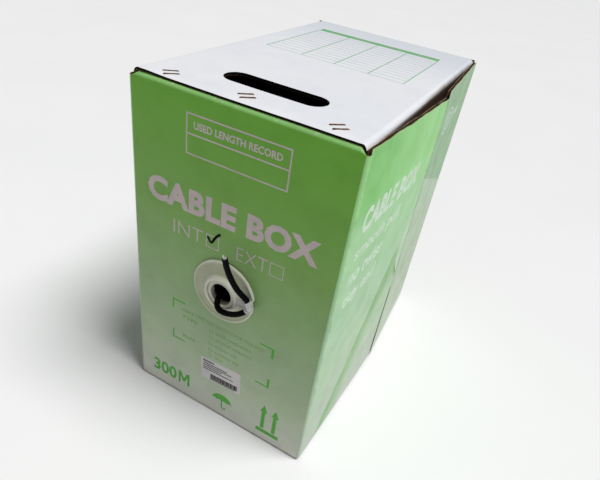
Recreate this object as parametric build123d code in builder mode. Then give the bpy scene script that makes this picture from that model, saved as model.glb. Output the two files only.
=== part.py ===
from build123d import *
from math import acos, cos, degrees, pi, radians, sin, tan
import os

# Pull box for network cable: a corrugated carton that stands on its bottom
# panel, holding a coil that pays out through a flanged tube in its front.
# Millimetres. +Z up, front (payout side) towards -Y, right side towards +X.
# The origin is the centre of the footprint, on the surface the box stands on.

os.makedirs("parts", exist_ok=True)

# Carton
BOX_W = 215.0
BOX_D = 348.0
BOX_H = 364.0
BOARD = 3.0
CREASE_GAP = 0.4
HALF_W = BOX_W / 2
HALF_D = BOX_D / 2
FOLD_R = 2.0

# Outer side flaps, cut from the front and back panels
FLAP_TRIM_TOP = 5.0
FLAP_TRIM_BOTTOM = 2.5
FRONT_FLAP = 187.4
REAR_FLAP = 159.2
RIGHT_FRONT_OPEN = 2.57
RIGHT_REAR_OPEN = 3.03
LEFT_FRONT_OPEN = 1.2
LEFT_REAR_OPEN = 1.41

# Inner side flaps, cut from the top and bottom panels
INNER_FLAP = 167.0
INNER_FLAP_SIDE_GAP = 1.5

# Stitched joint along the top front edge
TAB_DEPTH = 33.0
TAB_SIDE_GAP = 8.0
STAPLE_SPOTS = ((-75.0, 14.0), (-4.0, 17.0), (75.5, 16.0))
STAPLE_PITCH = 8.0
STAPLE_ANGLE = 44.0
CROWN_LEN = 13.6
WIRE_WIDTH = 2.2
WIRE_THICK = 0.6
CLINCH_LEN = 5.5

# Hand hole in the top panel
HAND_LEN = 97.0
HAND_WIDE = 27.0
HAND_SET_BACK = 51.5
HAND_X = 1.0

# Payout fitting
PAYOUT_Z = 181.5
PANEL_HOLE_R = 16.6
FACE_GAP = 0.3
FLANGE_R = 34.0
RIM_H = 3.0
DISH_H = 3.8
COLLAR_R = 17.5
COLLAR_H = 8.0
COLLAR_BORE_R = 15.9
LEDGE_H = 3.4
SLEEVE_R = 16.0
SLEEVE_BORE_R = 13.9
SLEEVE_DEPTH = 13.0
NOTCH_Z = 2.0
NOTCH_WIDE = 9.0
NOTCH_ROOT = 27.0
RING_R = 25.0
RING_BORE_R = 16.05
RING_THICK = 4.2
TUBE_R = 13.6
TUBE_BORE_R = 11.0
TUBE_DEPTH = 82.0
LIP_R = 15.6
LIP_H = 5.0
THROAT_R = 12.4
THROAT_H = 6.4

# Coil, wound flat-sided with its axis across the box
COIL_R = 164.0
CORE_R = 96.0
COIL_W = 194.0
COIL_EDGE_R = 14.0
CORE_EDGE_R = 5.0
TUNNEL_R = 20.0

# Cable
CABLE_R = 2.75
CONDUCTOR_R = 0.48

# Label on the front
LABEL_W = 50.5
LABEL_H = 31.5
LABEL_THICK = 0.2
LABEL_X = 3.0
LABEL_Z = 65.5
LABEL_TILT = 3.0

FRONT_FACE = -HALF_D
INNER_FACE_X = HALF_W - BOARD - CREASE_GAP
TOP_UNDER = BOX_H - BOARD


def from_face(out):
    """Y of a point that stands the given distance in front of the front panel."""
    return FRONT_FACE - out


def payout_plane(out):
    """Plane across the payout axis, local X to the right and local Y up."""
    return Plane(origin=(0, from_face(out), PAYOUT_Z), x_dir=(1, 0, 0), z_dir=(0, -1, 0))


def cord_radii(points):
    """Bend radius at each inner corner, from the shorter run beside it and the turn."""
    radii = []
    for before, corner, after in zip(points, points[1:], points[2:]):
        run_in = Vector(*corner) - Vector(*before)
        run_out = Vector(*after) - Vector(*corner)
        cosine = run_in.dot(run_out) / (run_in.length * run_out.length)
        turn = acos(max(-1.0, min(1.0, cosine)))
        radii.append(0.45 * min(run_in.length, run_out.length) / tan(turn / 2))
    return radii


def flap_plane(side, end, open_deg):
    """Plane of a side flap's outer face: origin at its crease, local X along the
    flap away from the crease, local Y outwards."""
    swing = radians(open_deg)
    along = (side * sin(swing), -end * cos(swing), 0)
    up = side * end
    return Plane(origin=(side * HALF_W, end * HALF_D, FLAP_TRIM_BOTTOM), x_dir=along, z_dir=(0, 0, up))


# ---------------------------------------------------------------- tube panels

with BuildPart() as front_panel:
    with BuildSketch(Plane.XY):
        with Locations((0, FRONT_FACE + BOARD / 2)):
            Rectangle(BOX_W, BOARD)
    extrude(amount=TOP_UNDER)
    fillet(front_panel.edges().filter_by(Axis.Z).group_by(Axis.Y)[0], FOLD_R)
    fillet(front_panel.edges().filter_by(Axis.X).group_by(Axis.Z)[-1].sort_by(Axis.Y)[0], FOLD_R)
    with BuildSketch(payout_plane(0)):
        Circle(PANEL_HOLE_R)
    extrude(amount=-BOARD, mode=Mode.SUBTRACT)
front_panel.part.label = "front_panel"
export_step(front_panel.part, "parts/front_panel.step")

with BuildPart() as back_panel:
    with BuildSketch(Plane.XY):
        with Locations((0, HALF_D - BOARD / 2)):
            Rectangle(BOX_W, BOARD)
    extrude(amount=BOX_H)
    fillet(back_panel.edges().filter_by(Axis.Z).group_by(Axis.Y)[-1], FOLD_R)
    fillet(back_panel.edges().filter_by(Axis.X).group_by(Axis.Z)[-1].sort_by(Axis.Y)[-1], FOLD_R)
back_panel.part.label = "back_panel"
export_step(back_panel.part, "parts/back_panel.step")

with BuildPart() as bottom_panel:
    with BuildSketch(Plane.XY):
        Rectangle(2 * INNER_FACE_X, BOX_D - 2 * BOARD)
    extrude(amount=BOARD)
bottom_panel.part.label = "bottom_panel"
export_step(bottom_panel.part, "parts/bottom_panel.step")

with BuildPart() as top_panel:
    with BuildSketch(Plane.XY.offset(TOP_UNDER)):
        with Locations((0, -BOARD / 2)):
            Rectangle(2 * INNER_FACE_X, BOX_D - BOARD)
        with Locations((HAND_X, FRONT_FACE + HAND_SET_BACK)):
            SlotOverall(HAND_LEN, HAND_WIDE, mode=Mode.SUBTRACT)
    extrude(amount=BOARD)
    fillet(top_panel.edges().filter_by(Axis.Y).group_by(Axis.Z)[-1], FOLD_R)
top_panel.part.label = "top_panel"
export_step(top_panel.part, "parts/top_panel.step")

# The front panel's joint tab, folded back under the top panel
with BuildPart() as joint_tab:
    with BuildSketch(Plane.XY.offset(TOP_UNDER - BOARD)):
        with Locations((0, FRONT_FACE + BOARD + TAB_DEPTH / 2)):
            Rectangle(BOX_W - 2 * TAB_SIDE_GAP, TAB_DEPTH)
    extrude(amount=BOARD)
    fillet(joint_tab.edges().filter_by(Axis.Z).group_by(Axis.Y)[-1], 6)
joint_tab.part.label = "joint_tab"
export_step(joint_tab.part, "parts/joint_tab.step")

# Flat-wire staples, in diagonal pairs: crown on top, legs clinched below the tab
staple_step_x = STAPLE_PITCH / 2 * sin(radians(STAPLE_ANGLE))
staple_step_y = STAPLE_PITCH / 2 * cos(radians(STAPLE_ANGLE))
staple_spots = [
    (spot_x + end * staple_step_x, FRONT_FACE + set_back - end * staple_step_y)
    for spot_x, set_back in STAPLE_SPOTS
    for end in (-1, 1)
]
staple_levels = (BOX_H, TOP_UNDER - BOARD - WIRE_THICK)

with BuildPart() as joint_staples:
    with BuildSketch(Plane.XY.offset(staple_levels[0])):
        with Locations(*staple_spots):
            Rectangle(CROWN_LEN, WIRE_WIDTH, rotation=STAPLE_ANGLE)
    extrude(amount=WIRE_THICK)
    with BuildSketch(Plane.XY.offset(staple_levels[1])):
        with Locations(*staple_spots):
            with Locations(Pos() * Rot(Z=STAPLE_ANGLE)):
                with Locations((-CROWN_LEN / 2 + WIRE_THICK / 2, 0), (CROWN_LEN / 2 - WIRE_THICK / 2, 0)):
                    Rectangle(WIRE_THICK, WIRE_WIDTH)
    extrude(amount=staple_levels[0] - staple_levels[1])
    with BuildSketch(Plane.XY.offset(staple_levels[1])):
        with Locations(*staple_spots):
            with Locations(Pos() * Rot(Z=STAPLE_ANGLE)):
                with Locations((-CROWN_LEN / 2 + CLINCH_LEN / 2, 0), (CROWN_LEN / 2 - CLINCH_LEN / 2, 0)):
                    Rectangle(CLINCH_LEN, WIRE_WIDTH)
    extrude(amount=WIRE_THICK)
joint_staples.part.label = "joint_staples"
export_step(joint_staples.part, "parts/joint_staples.step")

# ---------------------------------------------------------------- inner flaps

with BuildPart() as inner_flap_right_upper:
    with BuildSketch(Plane.YZ.offset(INNER_FACE_X - BOARD)):
        with Locations((0, TOP_UNDER - INNER_FLAP / 2)):
            Rectangle(BOX_D - 2 * BOARD - 2 * INNER_FLAP_SIDE_GAP, INNER_FLAP)
    extrude(amount=BOARD)
inner_flap_right_upper.part.label = "inner_flap_right_upper"
export_step(inner_flap_right_upper.part, "parts/inner_flap_right_upper.step")

with BuildPart() as inner_flap_right_lower:
    with BuildSketch(Plane.YZ.offset(INNER_FACE_X - BOARD)):
        with Locations((0, BOARD + INNER_FLAP / 2)):
            Rectangle(BOX_D - 2 * BOARD - 2 * INNER_FLAP_SIDE_GAP, INNER_FLAP)
    extrude(amount=BOARD)
inner_flap_right_lower.part.label = "inner_flap_right_lower"
export_step(inner_flap_right_lower.part, "parts/inner_flap_right_lower.step")

with BuildPart() as inner_flap_left_upper:
    with BuildSketch(Plane.YZ.offset(-INNER_FACE_X)):
        with Locations((0, TOP_UNDER - INNER_FLAP / 2)):
            Rectangle(BOX_D - 2 * BOARD - 2 * INNER_FLAP_SIDE_GAP, INNER_FLAP)
    extrude(amount=BOARD)
inner_flap_left_upper.part.label = "inner_flap_left_upper"
export_step(inner_flap_left_upper.part, "parts/inner_flap_left_upper.step")

with BuildPart() as inner_flap_left_lower:
    with BuildSketch(Plane.YZ.offset(-INNER_FACE_X)):
        with Locations((0, BOARD + INNER_FLAP / 2)):
            Rectangle(BOX_D - 2 * BOARD - 2 * INNER_FLAP_SIDE_GAP, INNER_FLAP)
    extrude(amount=BOARD)
inner_flap_left_lower.part.label = "inner_flap_left_lower"
export_step(inner_flap_left_lower.part, "parts/inner_flap_left_lower.step")

# ---------------------------------------------------------------- outer flaps
# Each hangs inside its crease plane, its outer face through the box's corner line.

FLAP_H = BOX_H - FLAP_TRIM_TOP - FLAP_TRIM_BOTTOM

with BuildPart() as outer_flap_right_front:
    with BuildSketch(flap_plane(1, -1, RIGHT_FRONT_OPEN)):
        with Locations(((FRONT_FLAP + BOARD) / 2, -BOARD / 2)):
            Rectangle(FRONT_FLAP - BOARD, BOARD)
    extrude(amount=-FLAP_H)
outer_flap_right_front.part.label = "outer_flap_right_front"
export_step(outer_flap_right_front.part, "parts/outer_flap_right_front.step")

with BuildPart() as outer_flap_right_rear:
    with BuildSketch(flap_plane(1, 1, RIGHT_REAR_OPEN)):
        with Locations(((REAR_FLAP + BOARD) / 2, -BOARD / 2)):
            Rectangle(REAR_FLAP - BOARD, BOARD)
    extrude(amount=FLAP_H)
outer_flap_right_rear.part.label = "outer_flap_right_rear"
export_step(outer_flap_right_rear.part, "parts/outer_flap_right_rear.step")

with BuildPart() as outer_flap_left_front:
    with BuildSketch(flap_plane(-1, -1, LEFT_FRONT_OPEN)):
        with Locations(((FRONT_FLAP + BOARD) / 2, -BOARD / 2)):
            Rectangle(FRONT_FLAP - BOARD, BOARD)
    extrude(amount=FLAP_H)
outer_flap_left_front.part.label = "outer_flap_left_front"
export_step(outer_flap_left_front.part, "parts/outer_flap_left_front.step")

with BuildPart() as outer_flap_left_rear:
    with BuildSketch(flap_plane(-1, 1, LEFT_REAR_OPEN)):
        with Locations(((REAR_FLAP + BOARD) / 2, -BOARD / 2)):
            Rectangle(REAR_FLAP - BOARD, BOARD)
    extrude(amount=-FLAP_H)
outer_flap_left_rear.part.label = "outer_flap_left_rear"
export_step(outer_flap_left_rear.part, "parts/outer_flap_left_rear.step")

# ---------------------------------------------------------------- coil

COIL_Z = BOARD + COIL_R
COIL_PLANE = Plane(origin=(0, 0, COIL_Z), x_dir=(1, 0, 0), z_dir=(0, -1, 0))

with BuildPart() as cable_coil:
    with BuildSketch(COIL_PLANE) as coil_section:
        with Locations((0, (COIL_R + CORE_R) / 2)):
            Rectangle(COIL_W, COIL_R - CORE_R)
        fillet(coil_section.vertices().group_by(Axis.Y)[-1], COIL_EDGE_R)
        fillet(coil_section.vertices().group_by(Axis.Y)[0], CORE_EDGE_R)
    revolve(axis=Axis((0, 0, COIL_Z), (1, 0, 0)), revolution_arc=360)
    with BuildSketch(payout_plane(0)):
        Circle(TUNNEL_R)
    extrude(amount=-HALF_D, mode=Mode.SUBTRACT)
cable_coil.part.label = "cable_coil"
export_step(cable_coil.part, "parts/cable_coil.step")

# ---------------------------------------------------------------- payout fitting
# Sections are drawn in the plane through the payout axis: local X is the
# radius to the right, local Y is the distance out of the front face.

SECTION = Plane(origin=(0, FRONT_FACE, PAYOUT_Z), x_dir=(1, 0, 0), z_dir=(0, 0, 1))
PAYOUT_AXIS = Axis((0, FRONT_FACE, PAYOUT_Z), (0, -1, 0))

with BuildPart() as payout_flange:
    with BuildSketch(SECTION):
        with BuildLine():
            Polyline(
                (SLEEVE_BORE_R, SLEEVE_DEPTH),
                (SLEEVE_R, SLEEVE_DEPTH),
                (SLEEVE_R, -FACE_GAP),
                (FLANGE_R, -FACE_GAP),
                (FLANGE_R, -RIM_H + 0.9),
                (FLANGE_R - 0.9, -RIM_H),
                (FLANGE_R - 9, -RIM_H + 0.3),
                (COLLAR_R + 3, -DISH_H),
                (COLLAR_R + 0.9, -DISH_H - 1.2),
                (COLLAR_R, -COLLAR_H + 0.8),
                (COLLAR_R - 0.8, -COLLAR_H),
                (COLLAR_BORE_R, -COLLAR_H),
                (COLLAR_BORE_R, -LEDGE_H),
                (SLEEVE_BORE_R, -LEDGE_H),
                close=True,
            )
        make_face()
    revolve(axis=PAYOUT_AXIS, revolution_arc=360)
    with BuildSketch(payout_plane(0)):
        with Locations((NOTCH_ROOT + FLANGE_R / 2, NOTCH_Z)):
            Rectangle(FLANGE_R, NOTCH_WIDE)
    extrude(amount=COLLAR_H, mode=Mode.SUBTRACT)
    fillet(
        payout_flange.edges().filter_by(Axis.Y).group_by(Axis.X)[-1],
        0.8,
    )
payout_flange.part.label = "payout_flange"
export_step(payout_flange.part, "parts/payout_flange.step")

with BuildPart() as lock_ring:
    with BuildSketch(payout_plane(-BOARD - FACE_GAP)):
        RegularPolygon(RING_R, 12)
        Circle(RING_BORE_R, mode=Mode.SUBTRACT)
    extrude(amount=-RING_THICK)
lock_ring.part.label = "lock_ring"
export_step(lock_ring.part, "parts/lock_ring.step")

with BuildPart() as payout_tube:
    with BuildSketch(SECTION):
        with BuildLine():
            Polyline(
                (TUBE_BORE_R, TUBE_DEPTH),
                (TUBE_R, TUBE_DEPTH),
                (TUBE_R, -LEDGE_H),
                (LIP_R, -LEDGE_H),
                (LIP_R, -LIP_H + 0.3),
                (LIP_R - 0.3, -LIP_H),
                (THROAT_R, -LIP_H),
                (THROAT_R - 0.2, -THROAT_H + 0.3),
                (THROAT_R - 0.6, -THROAT_H),
                (TUBE_BORE_R + 0.5, -THROAT_H),
                (TUBE_BORE_R, -THROAT_H + 0.6),
                close=True,
            )
        make_face()
    revolve(axis=PAYOUT_AXIS, revolution_arc=360)
payout_tube.part.label = "payout_tube"
export_step(payout_tube.part, "parts/payout_tube.step")

# ---------------------------------------------------------------- cable
# The free end comes out of the throat, bends over the collar, turns back in
# the flange's notch and stands up in front of the panel.

TAIL_POINTS = [
    (-4.9, from_face(-10.0), PAYOUT_Z - 5.7),
    (-5.2, from_face(3.5), PAYOUT_Z - 6.2),
    (2.5, from_face(15.0), PAYOUT_Z - 12.2),
    (21.0, from_face(13.0), PAYOUT_Z - 9.8),
    (31.3, from_face(6.6), PAYOUT_Z - 2.6),
    (31.8, from_face(6.6), PAYOUT_Z + 6.8),
    (20.5, from_face(11.2), PAYOUT_Z + 18.5),
    (13.4, from_face(13.8), PAYOUT_Z + 32.0),
    (9.6, from_face(15.0), PAYOUT_Z + 42.5),
    (8.0, from_face(16.0), PAYOUT_Z + 51.4),
]

# The feed inside: from the free space in the coil, forwards into the tube
LEAD_POINTS = [
    (14.0, 70.0, PAYOUT_Z - 34.0),
    (9.0, 25.0, PAYOUT_Z - 14.0),
    (4.0, -25.0, PAYOUT_Z - 5.0),
    (-3.4, from_face(-77.5), PAYOUT_Z - 3.2),
    (-4.9, from_face(-10.0), PAYOUT_Z - 5.7),
]


with BuildPart() as cable_tail:
    with BuildLine():
        tail_path = FilletPolyline(*TAIL_POINTS, radius=cord_radii(TAIL_POINTS))
    with BuildSketch(Plane(origin=tail_path @ 0, z_dir=tail_path % 0)):
        Circle(CABLE_R)
    sweep()
cable_tail.part.label = "cable_tail"
export_step(cable_tail.part, "parts/cable_tail.step")

with BuildPart() as cable_lead:
    with BuildLine():
        lead_path = FilletPolyline(*LEAD_POINTS, radius=cord_radii(LEAD_POINTS))
    with BuildSketch(Plane(origin=lead_path @ 0, z_dir=lead_path % 0)):
        Circle(CABLE_R)
    sweep()
cable_lead.part.label = "cable_lead"
export_step(cable_lead.part, "parts/cable_lead.step")

# Eight solid conductors, in four pairs, at the cut end
END_PLANE = Plane(origin=tail_path @ 1, z_dir=tail_path % 1)
PAIR_R = 1.25
PAIR_REACH = (3.4, 1.6, 2.6, 1.0)

with BuildPart() as conductor_ends:
    for quarter, reach in enumerate(PAIR_REACH):
        with BuildSketch(END_PLANE):
            with PolarLocations(PAIR_R, 1, start_angle=90 * quarter):
                with Locations((0, CONDUCTOR_R + 0.05), (0, -CONDUCTOR_R - 0.05)):
                    Circle(CONDUCTOR_R)
        extrude(amount=reach)
conductor_ends.part.label = "conductor_ends"
export_step(conductor_ends.part, "parts/conductor_ends.step")

# Crumpled tape wound round the bend so that it stays in the notch
TIE_SIZE = (9.5, 8.6, 12.5)
TIE_AT = (29.8, from_face(8.6), PAYOUT_Z + 2.2)
TIE_CLEAR = 0.05

with BuildPart() as cable_tie:
    tie_front = (TIE_AT[0], TIE_AT[1] - TIE_SIZE[1] / 2, TIE_AT[2])
    with BuildSketch(Plane(origin=tie_front, x_dir=(1, 0, 0), z_dir=(0, -1, 0))):
        RectangleRounded(TIE_SIZE[0], TIE_SIZE[2], 2.5)
    extrude(amount=-TIE_SIZE[1])
    fillet(cable_tie.edges().group_by(Axis.Y)[0], 1.6)
    fillet(cable_tie.edges().group_by(Axis.Y)[-1], 0.8)
    with BuildLine():
        bend_path = FilletPolyline(*TAIL_POINTS, radius=cord_radii(TAIL_POINTS))
    with BuildSketch(Plane(origin=bend_path @ 0, z_dir=bend_path % 0)):
        Circle(CABLE_R + TIE_CLEAR)
    sweep(mode=Mode.SUBTRACT)
cable_tie.part.label = "cable_tie"
export_step(cable_tie.part, "parts/cable_tie.step")

# ---------------------------------------------------------------- label

with BuildPart() as product_label:
    with BuildSketch(Plane(origin=(LABEL_X, FRONT_FACE, LABEL_Z), x_dir=(1, 0, 0), z_dir=(0, -1, 0))):
        RectangleRounded(LABEL_W, LABEL_H, 1.0, rotation=LABEL_TILT)
    extrude(amount=LABEL_THICK)
product_label.part.label = "product_label"
export_step(product_label.part, "parts/product_label.step")

# ---------------------------------------------------------------- cord report

for name, points, path, part in (
    ("cable_tail", TAIL_POINTS, tail_path, cable_tail.part),
    ("cable_lead", LEAD_POINTS, lead_path, cable_lead.part),
):
    expected = pi * CABLE_R**2 * path.length
    shown = ", ".join(f"{radius:.1f}" for radius in cord_radii(points))
    print(f"{name}: length {path.length:.1f} mm, radii {shown} mm")
    print(f"{name}: volume {part.volume:.1f}, section x length {expected:.1f} mm3")
for points in (TAIL_POINTS, LEAD_POINTS):
    for before, corner, after in zip(points, points[1:], points[2:]):
        run_in = Vector(*corner) - Vector(*before)
        run_out = Vector(*after) - Vector(*corner)
        turn = degrees(acos(run_in.dot(run_out) / (run_in.length * run_out.length)))
        print(f"runs {run_in.length:.1f} and {run_out.length:.1f} mm, turn {turn:.0f} degrees")
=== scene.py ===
import math
import random

import bmesh
import bpy
import numpy as np
from mathutils import Matrix, Vector, noise


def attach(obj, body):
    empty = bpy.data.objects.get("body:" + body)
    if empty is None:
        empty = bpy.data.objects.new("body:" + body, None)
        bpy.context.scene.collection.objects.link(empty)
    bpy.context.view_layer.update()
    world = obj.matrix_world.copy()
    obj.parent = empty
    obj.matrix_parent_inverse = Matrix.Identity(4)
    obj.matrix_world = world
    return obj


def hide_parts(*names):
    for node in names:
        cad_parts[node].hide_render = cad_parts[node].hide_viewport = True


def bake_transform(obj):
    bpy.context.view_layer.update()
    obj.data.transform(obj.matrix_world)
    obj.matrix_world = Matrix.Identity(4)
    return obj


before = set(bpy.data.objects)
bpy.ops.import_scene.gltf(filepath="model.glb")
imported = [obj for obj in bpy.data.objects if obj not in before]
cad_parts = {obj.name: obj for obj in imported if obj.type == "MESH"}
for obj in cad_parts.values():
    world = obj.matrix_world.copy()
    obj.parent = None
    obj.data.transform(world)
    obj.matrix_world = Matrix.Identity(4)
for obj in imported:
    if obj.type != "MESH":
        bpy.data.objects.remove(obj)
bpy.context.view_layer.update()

# Pull box for network cable, standing on its bottom panel. Lengths in the
# making of the pieces are millimetres; every finished mesh is in metres.

MM = 0.001

# Carton, as in the CAD
HALF_W = 107.5
HALF_D = 174.0
BOX_H = 364.0
BOARD = 3.0
TOP_UNDER = 361.0
INNER_X = 104.1
FLAP_LOW = 2.5
FLAP_HIGH = 359.0
FRONT_FLAP = 187.4
REAR_FLAP = 159.2
PAYOUT_Z = 181.5
FRONT_FACE = -HALF_D

# Corrugated board
PITCH = 6.3
LINER = 0.4
MEDIUM = 0.3
WASHBOARD = 0.07
STEP_ACROSS = PITCH / 4
STEP_ALONG = 9.0
INK_LIFT = 0.06
INK_ROOT = 0.02

# Folds: radius of the board's outer face
LOW_FOLD = 3.6
HIGH_FOLD = 4.0
SHOULDER = 5.0
CORNER_CUT = 2.6


def smooth(t):
    """Smoothstep from 0 to 1, for an array or a number."""
    t = np.clip(t, 0.0, 1.0)
    return t * t * (3 - 2 * t)


def round_angles(count):
    """Even angles round a full turn, in radians."""
    return np.linspace(0, 2 * math.pi, count + 1)[:-1]


def evaluated_mesh(obj):
    """A mesh of the object as its curve or modifiers leave it."""
    bpy.context.view_layer.update()
    graph = bpy.context.evaluated_depsgraph_get()
    return bpy.data.meshes.new_from_object(obj.evaluated_get(graph))


def link(obj):
    bpy.context.scene.collection.objects.link(obj)
    return obj


# ---------------------------------------------------------------- camera

CAMERA_AT = (0.19759, -0.48264, 0.49504)
CAMERA_RIGHT = (0.87098, 0.47077, 0.14062)
CAMERA_UP = (-0.36975, 0.43958, 0.81857)
CAMERA_BACK = (0.32355, -0.76495, 0.55693)
CAMERA_LENS = 30.34

camera_data = bpy.data.cameras.new("camera")
camera_data.lens = CAMERA_LENS
camera_data.sensor_width = 36.0
camera_data.clip_start = 0.01
camera = link(bpy.data.objects.new("camera", camera_data))
camera_axes = [Vector(axis).normalized() for axis in (CAMERA_RIGHT, CAMERA_UP, CAMERA_BACK)]
camera.matrix_world = Matrix.Translation(CAMERA_AT) @ Matrix(camera_axes).transposed().to_4x4()
bpy.context.scene.camera = camera
bpy.context.scene.view_settings.view_transform = "Standard"

# ---------------------------------------------------------------- cable tail
# The free end, with the CAD route's own points.

TAIL_POINTS = [
    (-4.9, FRONT_FACE + 10.0, PAYOUT_Z - 5.7),
    (-5.2, FRONT_FACE - 3.5, PAYOUT_Z - 6.2),
    (2.5, FRONT_FACE - 15.0, PAYOUT_Z - 12.2),
    (21.0, FRONT_FACE - 13.0, PAYOUT_Z - 9.8),
    (31.3, FRONT_FACE - 6.6, PAYOUT_Z - 2.6),
    (31.8, FRONT_FACE - 6.6, PAYOUT_Z + 6.8),
    (20.5, FRONT_FACE - 11.2, PAYOUT_Z + 18.5),
    (13.4, FRONT_FACE - 13.8, PAYOUT_Z + 32.0),
    (9.6, FRONT_FACE - 15.0, PAYOUT_Z + 42.5),
    (8.0, FRONT_FACE - 16.0, PAYOUT_Z + 51.4),
]
CABLE_R = 2.75


def route_line(name, points):
    """The smooth line of a cord whose control points are given, in mm."""
    data = bpy.data.curves.new(name, "CURVE")
    data.dimensions = "3D"
    spline = data.splines.new("NURBS")
    spline.points.add(len(points) - 1)
    for point, at in zip(spline.points, points):
        point.co = (at[0] * MM, at[1] * MM, at[2] * MM, 1.0)
    spline.order_u = 3
    spline.use_endpoint_u = True
    data.resolution_u = 16
    probe = link(bpy.data.objects.new(name, data))
    line = np.array([v.co for v in evaluated_mesh(probe).vertices]) / MM
    bpy.data.objects.remove(probe)
    return line


tail_line = route_line("tail_route", TAIL_POINTS)

# ---------------------------------------------------------------- materials


class Paint:
    """A node material under construction."""

    def __init__(self, name, **sockets):
        self.material = bpy.data.materials.new(name)
        self.material.use_nodes = True
        self.tree = self.material.node_tree
        self.shader = self.tree.nodes["Principled BSDF"]
        for socket, value in sockets.items():
            self.shader.inputs[socket.replace("_", " ")].default_value = value
        self.place = self.add("ShaderNodeTexCoord").outputs["Object"]
        split = self.add("ShaderNodeSeparateXYZ")
        self.tree.links.new(self.place, split.inputs[0])
        self.x, self.y, self.z = split.outputs

    def add(self, kind):
        return self.tree.nodes.new(kind)

    def feed(self, socket, value):
        if isinstance(value, bpy.types.NodeSocket):
            self.tree.links.new(value, socket)
        else:
            socket.default_value = value

    def math(self, operation, a, b=0.0, c=0.0):
        node = self.add("ShaderNodeMath")
        node.operation = operation
        for socket, value in zip(node.inputs, (a, b, c)):
            self.feed(socket, value)
        return node.outputs[0]

    def times(self, a, b):
        return self.math("MULTIPLY", a, b)

    def minus(self, a, b):
        return self.math("SUBTRACT", a, b)

    def times_plus(self, a, b, c):
        return self.math("MULTIPLY_ADD", a, b, c)

    def absolute(self, value):
        return self.math("ABSOLUTE", value)

    def distance(self, a, b):
        return self.math("SQRT", self.times_plus(a, a, self.times(b, b)))

    def map_range(self, value, span, result):
        """A node that maps a value from span to result."""
        node = self.add("ShaderNodeMapRange")
        self.feed(node.inputs["Value"], value)
        names = ("From Min", "From Max", "To Min", "To Max")
        for socket, number in zip(names, (*span, *result)):
            node.inputs[socket].default_value = number
        return node

    def fade(self, value, low, high):
        """0 below low, 1 above high, smooth between; low may be above high."""
        ends = (1.0, 0.0) if low > high else (0.0, 1.0)
        node = self.map_range(value, (min(low, high), max(low, high)), ends)
        node.interpolation_type = "SMOOTHSTEP"
        return node.outputs["Result"]

    def noise(self, scale, detail=3.0, roughness=0.6, stretch=(1.0, 1.0, 1.0)):
        """Noise about 1/scale metres across."""
        mapping = self.add("ShaderNodeMapping")
        mapping.inputs["Scale"].default_value = stretch
        self.tree.links.new(self.place, mapping.inputs["Vector"])
        node = self.add("ShaderNodeTexNoise")
        node.inputs["Scale"].default_value = scale
        node.inputs["Detail"].default_value = detail
        node.inputs["Roughness"].default_value = roughness
        self.tree.links.new(mapping.outputs[0], node.inputs["Vector"])
        return node.outputs["Fac"]

    def mix(self, share, a, b, blend="MIX"):
        node = self.add("ShaderNodeMix")
        node.data_type = "RGBA"
        node.blend_type = blend
        self.feed(node.inputs["Factor"], share)
        for socket in [s for s in node.inputs if s.type == "RGBA"]:
            self.feed(socket, a if socket.name == "A" else b)
        return [s for s in node.outputs if s.type == "RGBA"][0]

    def ramp(self, value, stops):
        node = self.add("ShaderNodeValToRGB")
        while len(node.color_ramp.elements) < len(stops):
            node.color_ramp.elements.new(0.5)
        for element, (at, colour) in zip(node.color_ramp.elements, stops):
            element.position = at
            element.color = (*colour, 1.0)
        self.feed(node.inputs["Fac"], value)
        return node.outputs["Color"]

    def bump(self, height, distance, strength=1.0):
        """Adds relief: height runs from 0 to 1 and distance is its depth in mm."""
        node = self.add("ShaderNodeBump")
        node.inputs["Strength"].default_value = strength
        node.inputs["Distance"].default_value = distance * MM
        self.feed(node.inputs["Height"], height)
        if self.shader.inputs["Normal"].links:
            self.tree.links.new(self.shader.inputs["Normal"].links[0].from_socket,
                                node.inputs["Normal"])
        self.tree.links.new(node.outputs[0], self.shader.inputs["Normal"])

    def rough(self, value, low, high):
        """Roughness that wanders between low and high with a 0 to 1 value."""
        node = self.map_range(value, (0.3, 0.7), (low, high))
        self.tree.links.new(node.outputs["Result"], self.shader.inputs["Roughness"])

    def colour(self, value):
        self.feed(self.shader.inputs["Base Color"], value)


def rgba(r, g, b):
    return (r, g, b, 1.0)


def shaded(colour, red, green=None, blue=None):
    """The colour scaled down, by one factor or by one for each channel."""
    factors = (red, red if green is None else green, red if blue is None else blue)
    return rgba(*[channel * factor for channel, factor in zip(colour, factors)])


def paper_finish(paint, across, colour, wear, worn=(0.74, 0.70, 0.62)):
    """Coated board: faint washboard over the flutes, paper tooth, scuffs where wear is 1."""
    blotch = paint.noise(38.0, 4.0)
    tooth = paint.noise(1500.0, 2.0, 0.7)
    scuff = paint.noise(420.0, 5.0, 0.75)
    tinted = paint.mix(paint.fade(blotch, 0.35, 0.75), colour, rgba(0.92, 0.92, 0.93), "MULTIPLY")
    specks = paint.times(paint.fade(scuff, 0.57, 0.66), wear)
    paint.colour(paint.mix(specks, tinted, rgba(*worn)))
    wave = paint.times(across, 2 * math.pi / (PITCH * MM))
    ridge = paint.times_plus(paint.math("COSINE", wave), 0.5, 0.5)
    paint.bump(ridge, 0.05, 0.6)
    paint.bump(tooth, 0.025, 0.5)
    paint.bump(paint.noise(24.0, 2.0), 0.5, 0.35)
    paint.rough(blotch, 0.34, 0.5)


def edge_wear(paint, gaps, reach=0.006):
    """1 at a panel's edges, fading over reach; gaps are distances to each edge."""
    nearest = gaps[0]
    for gap in gaps[1:]:
        nearest = paint.math("MINIMUM", nearest, gap)
    return paint.fade(nearest, reach, 0.0)


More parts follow.
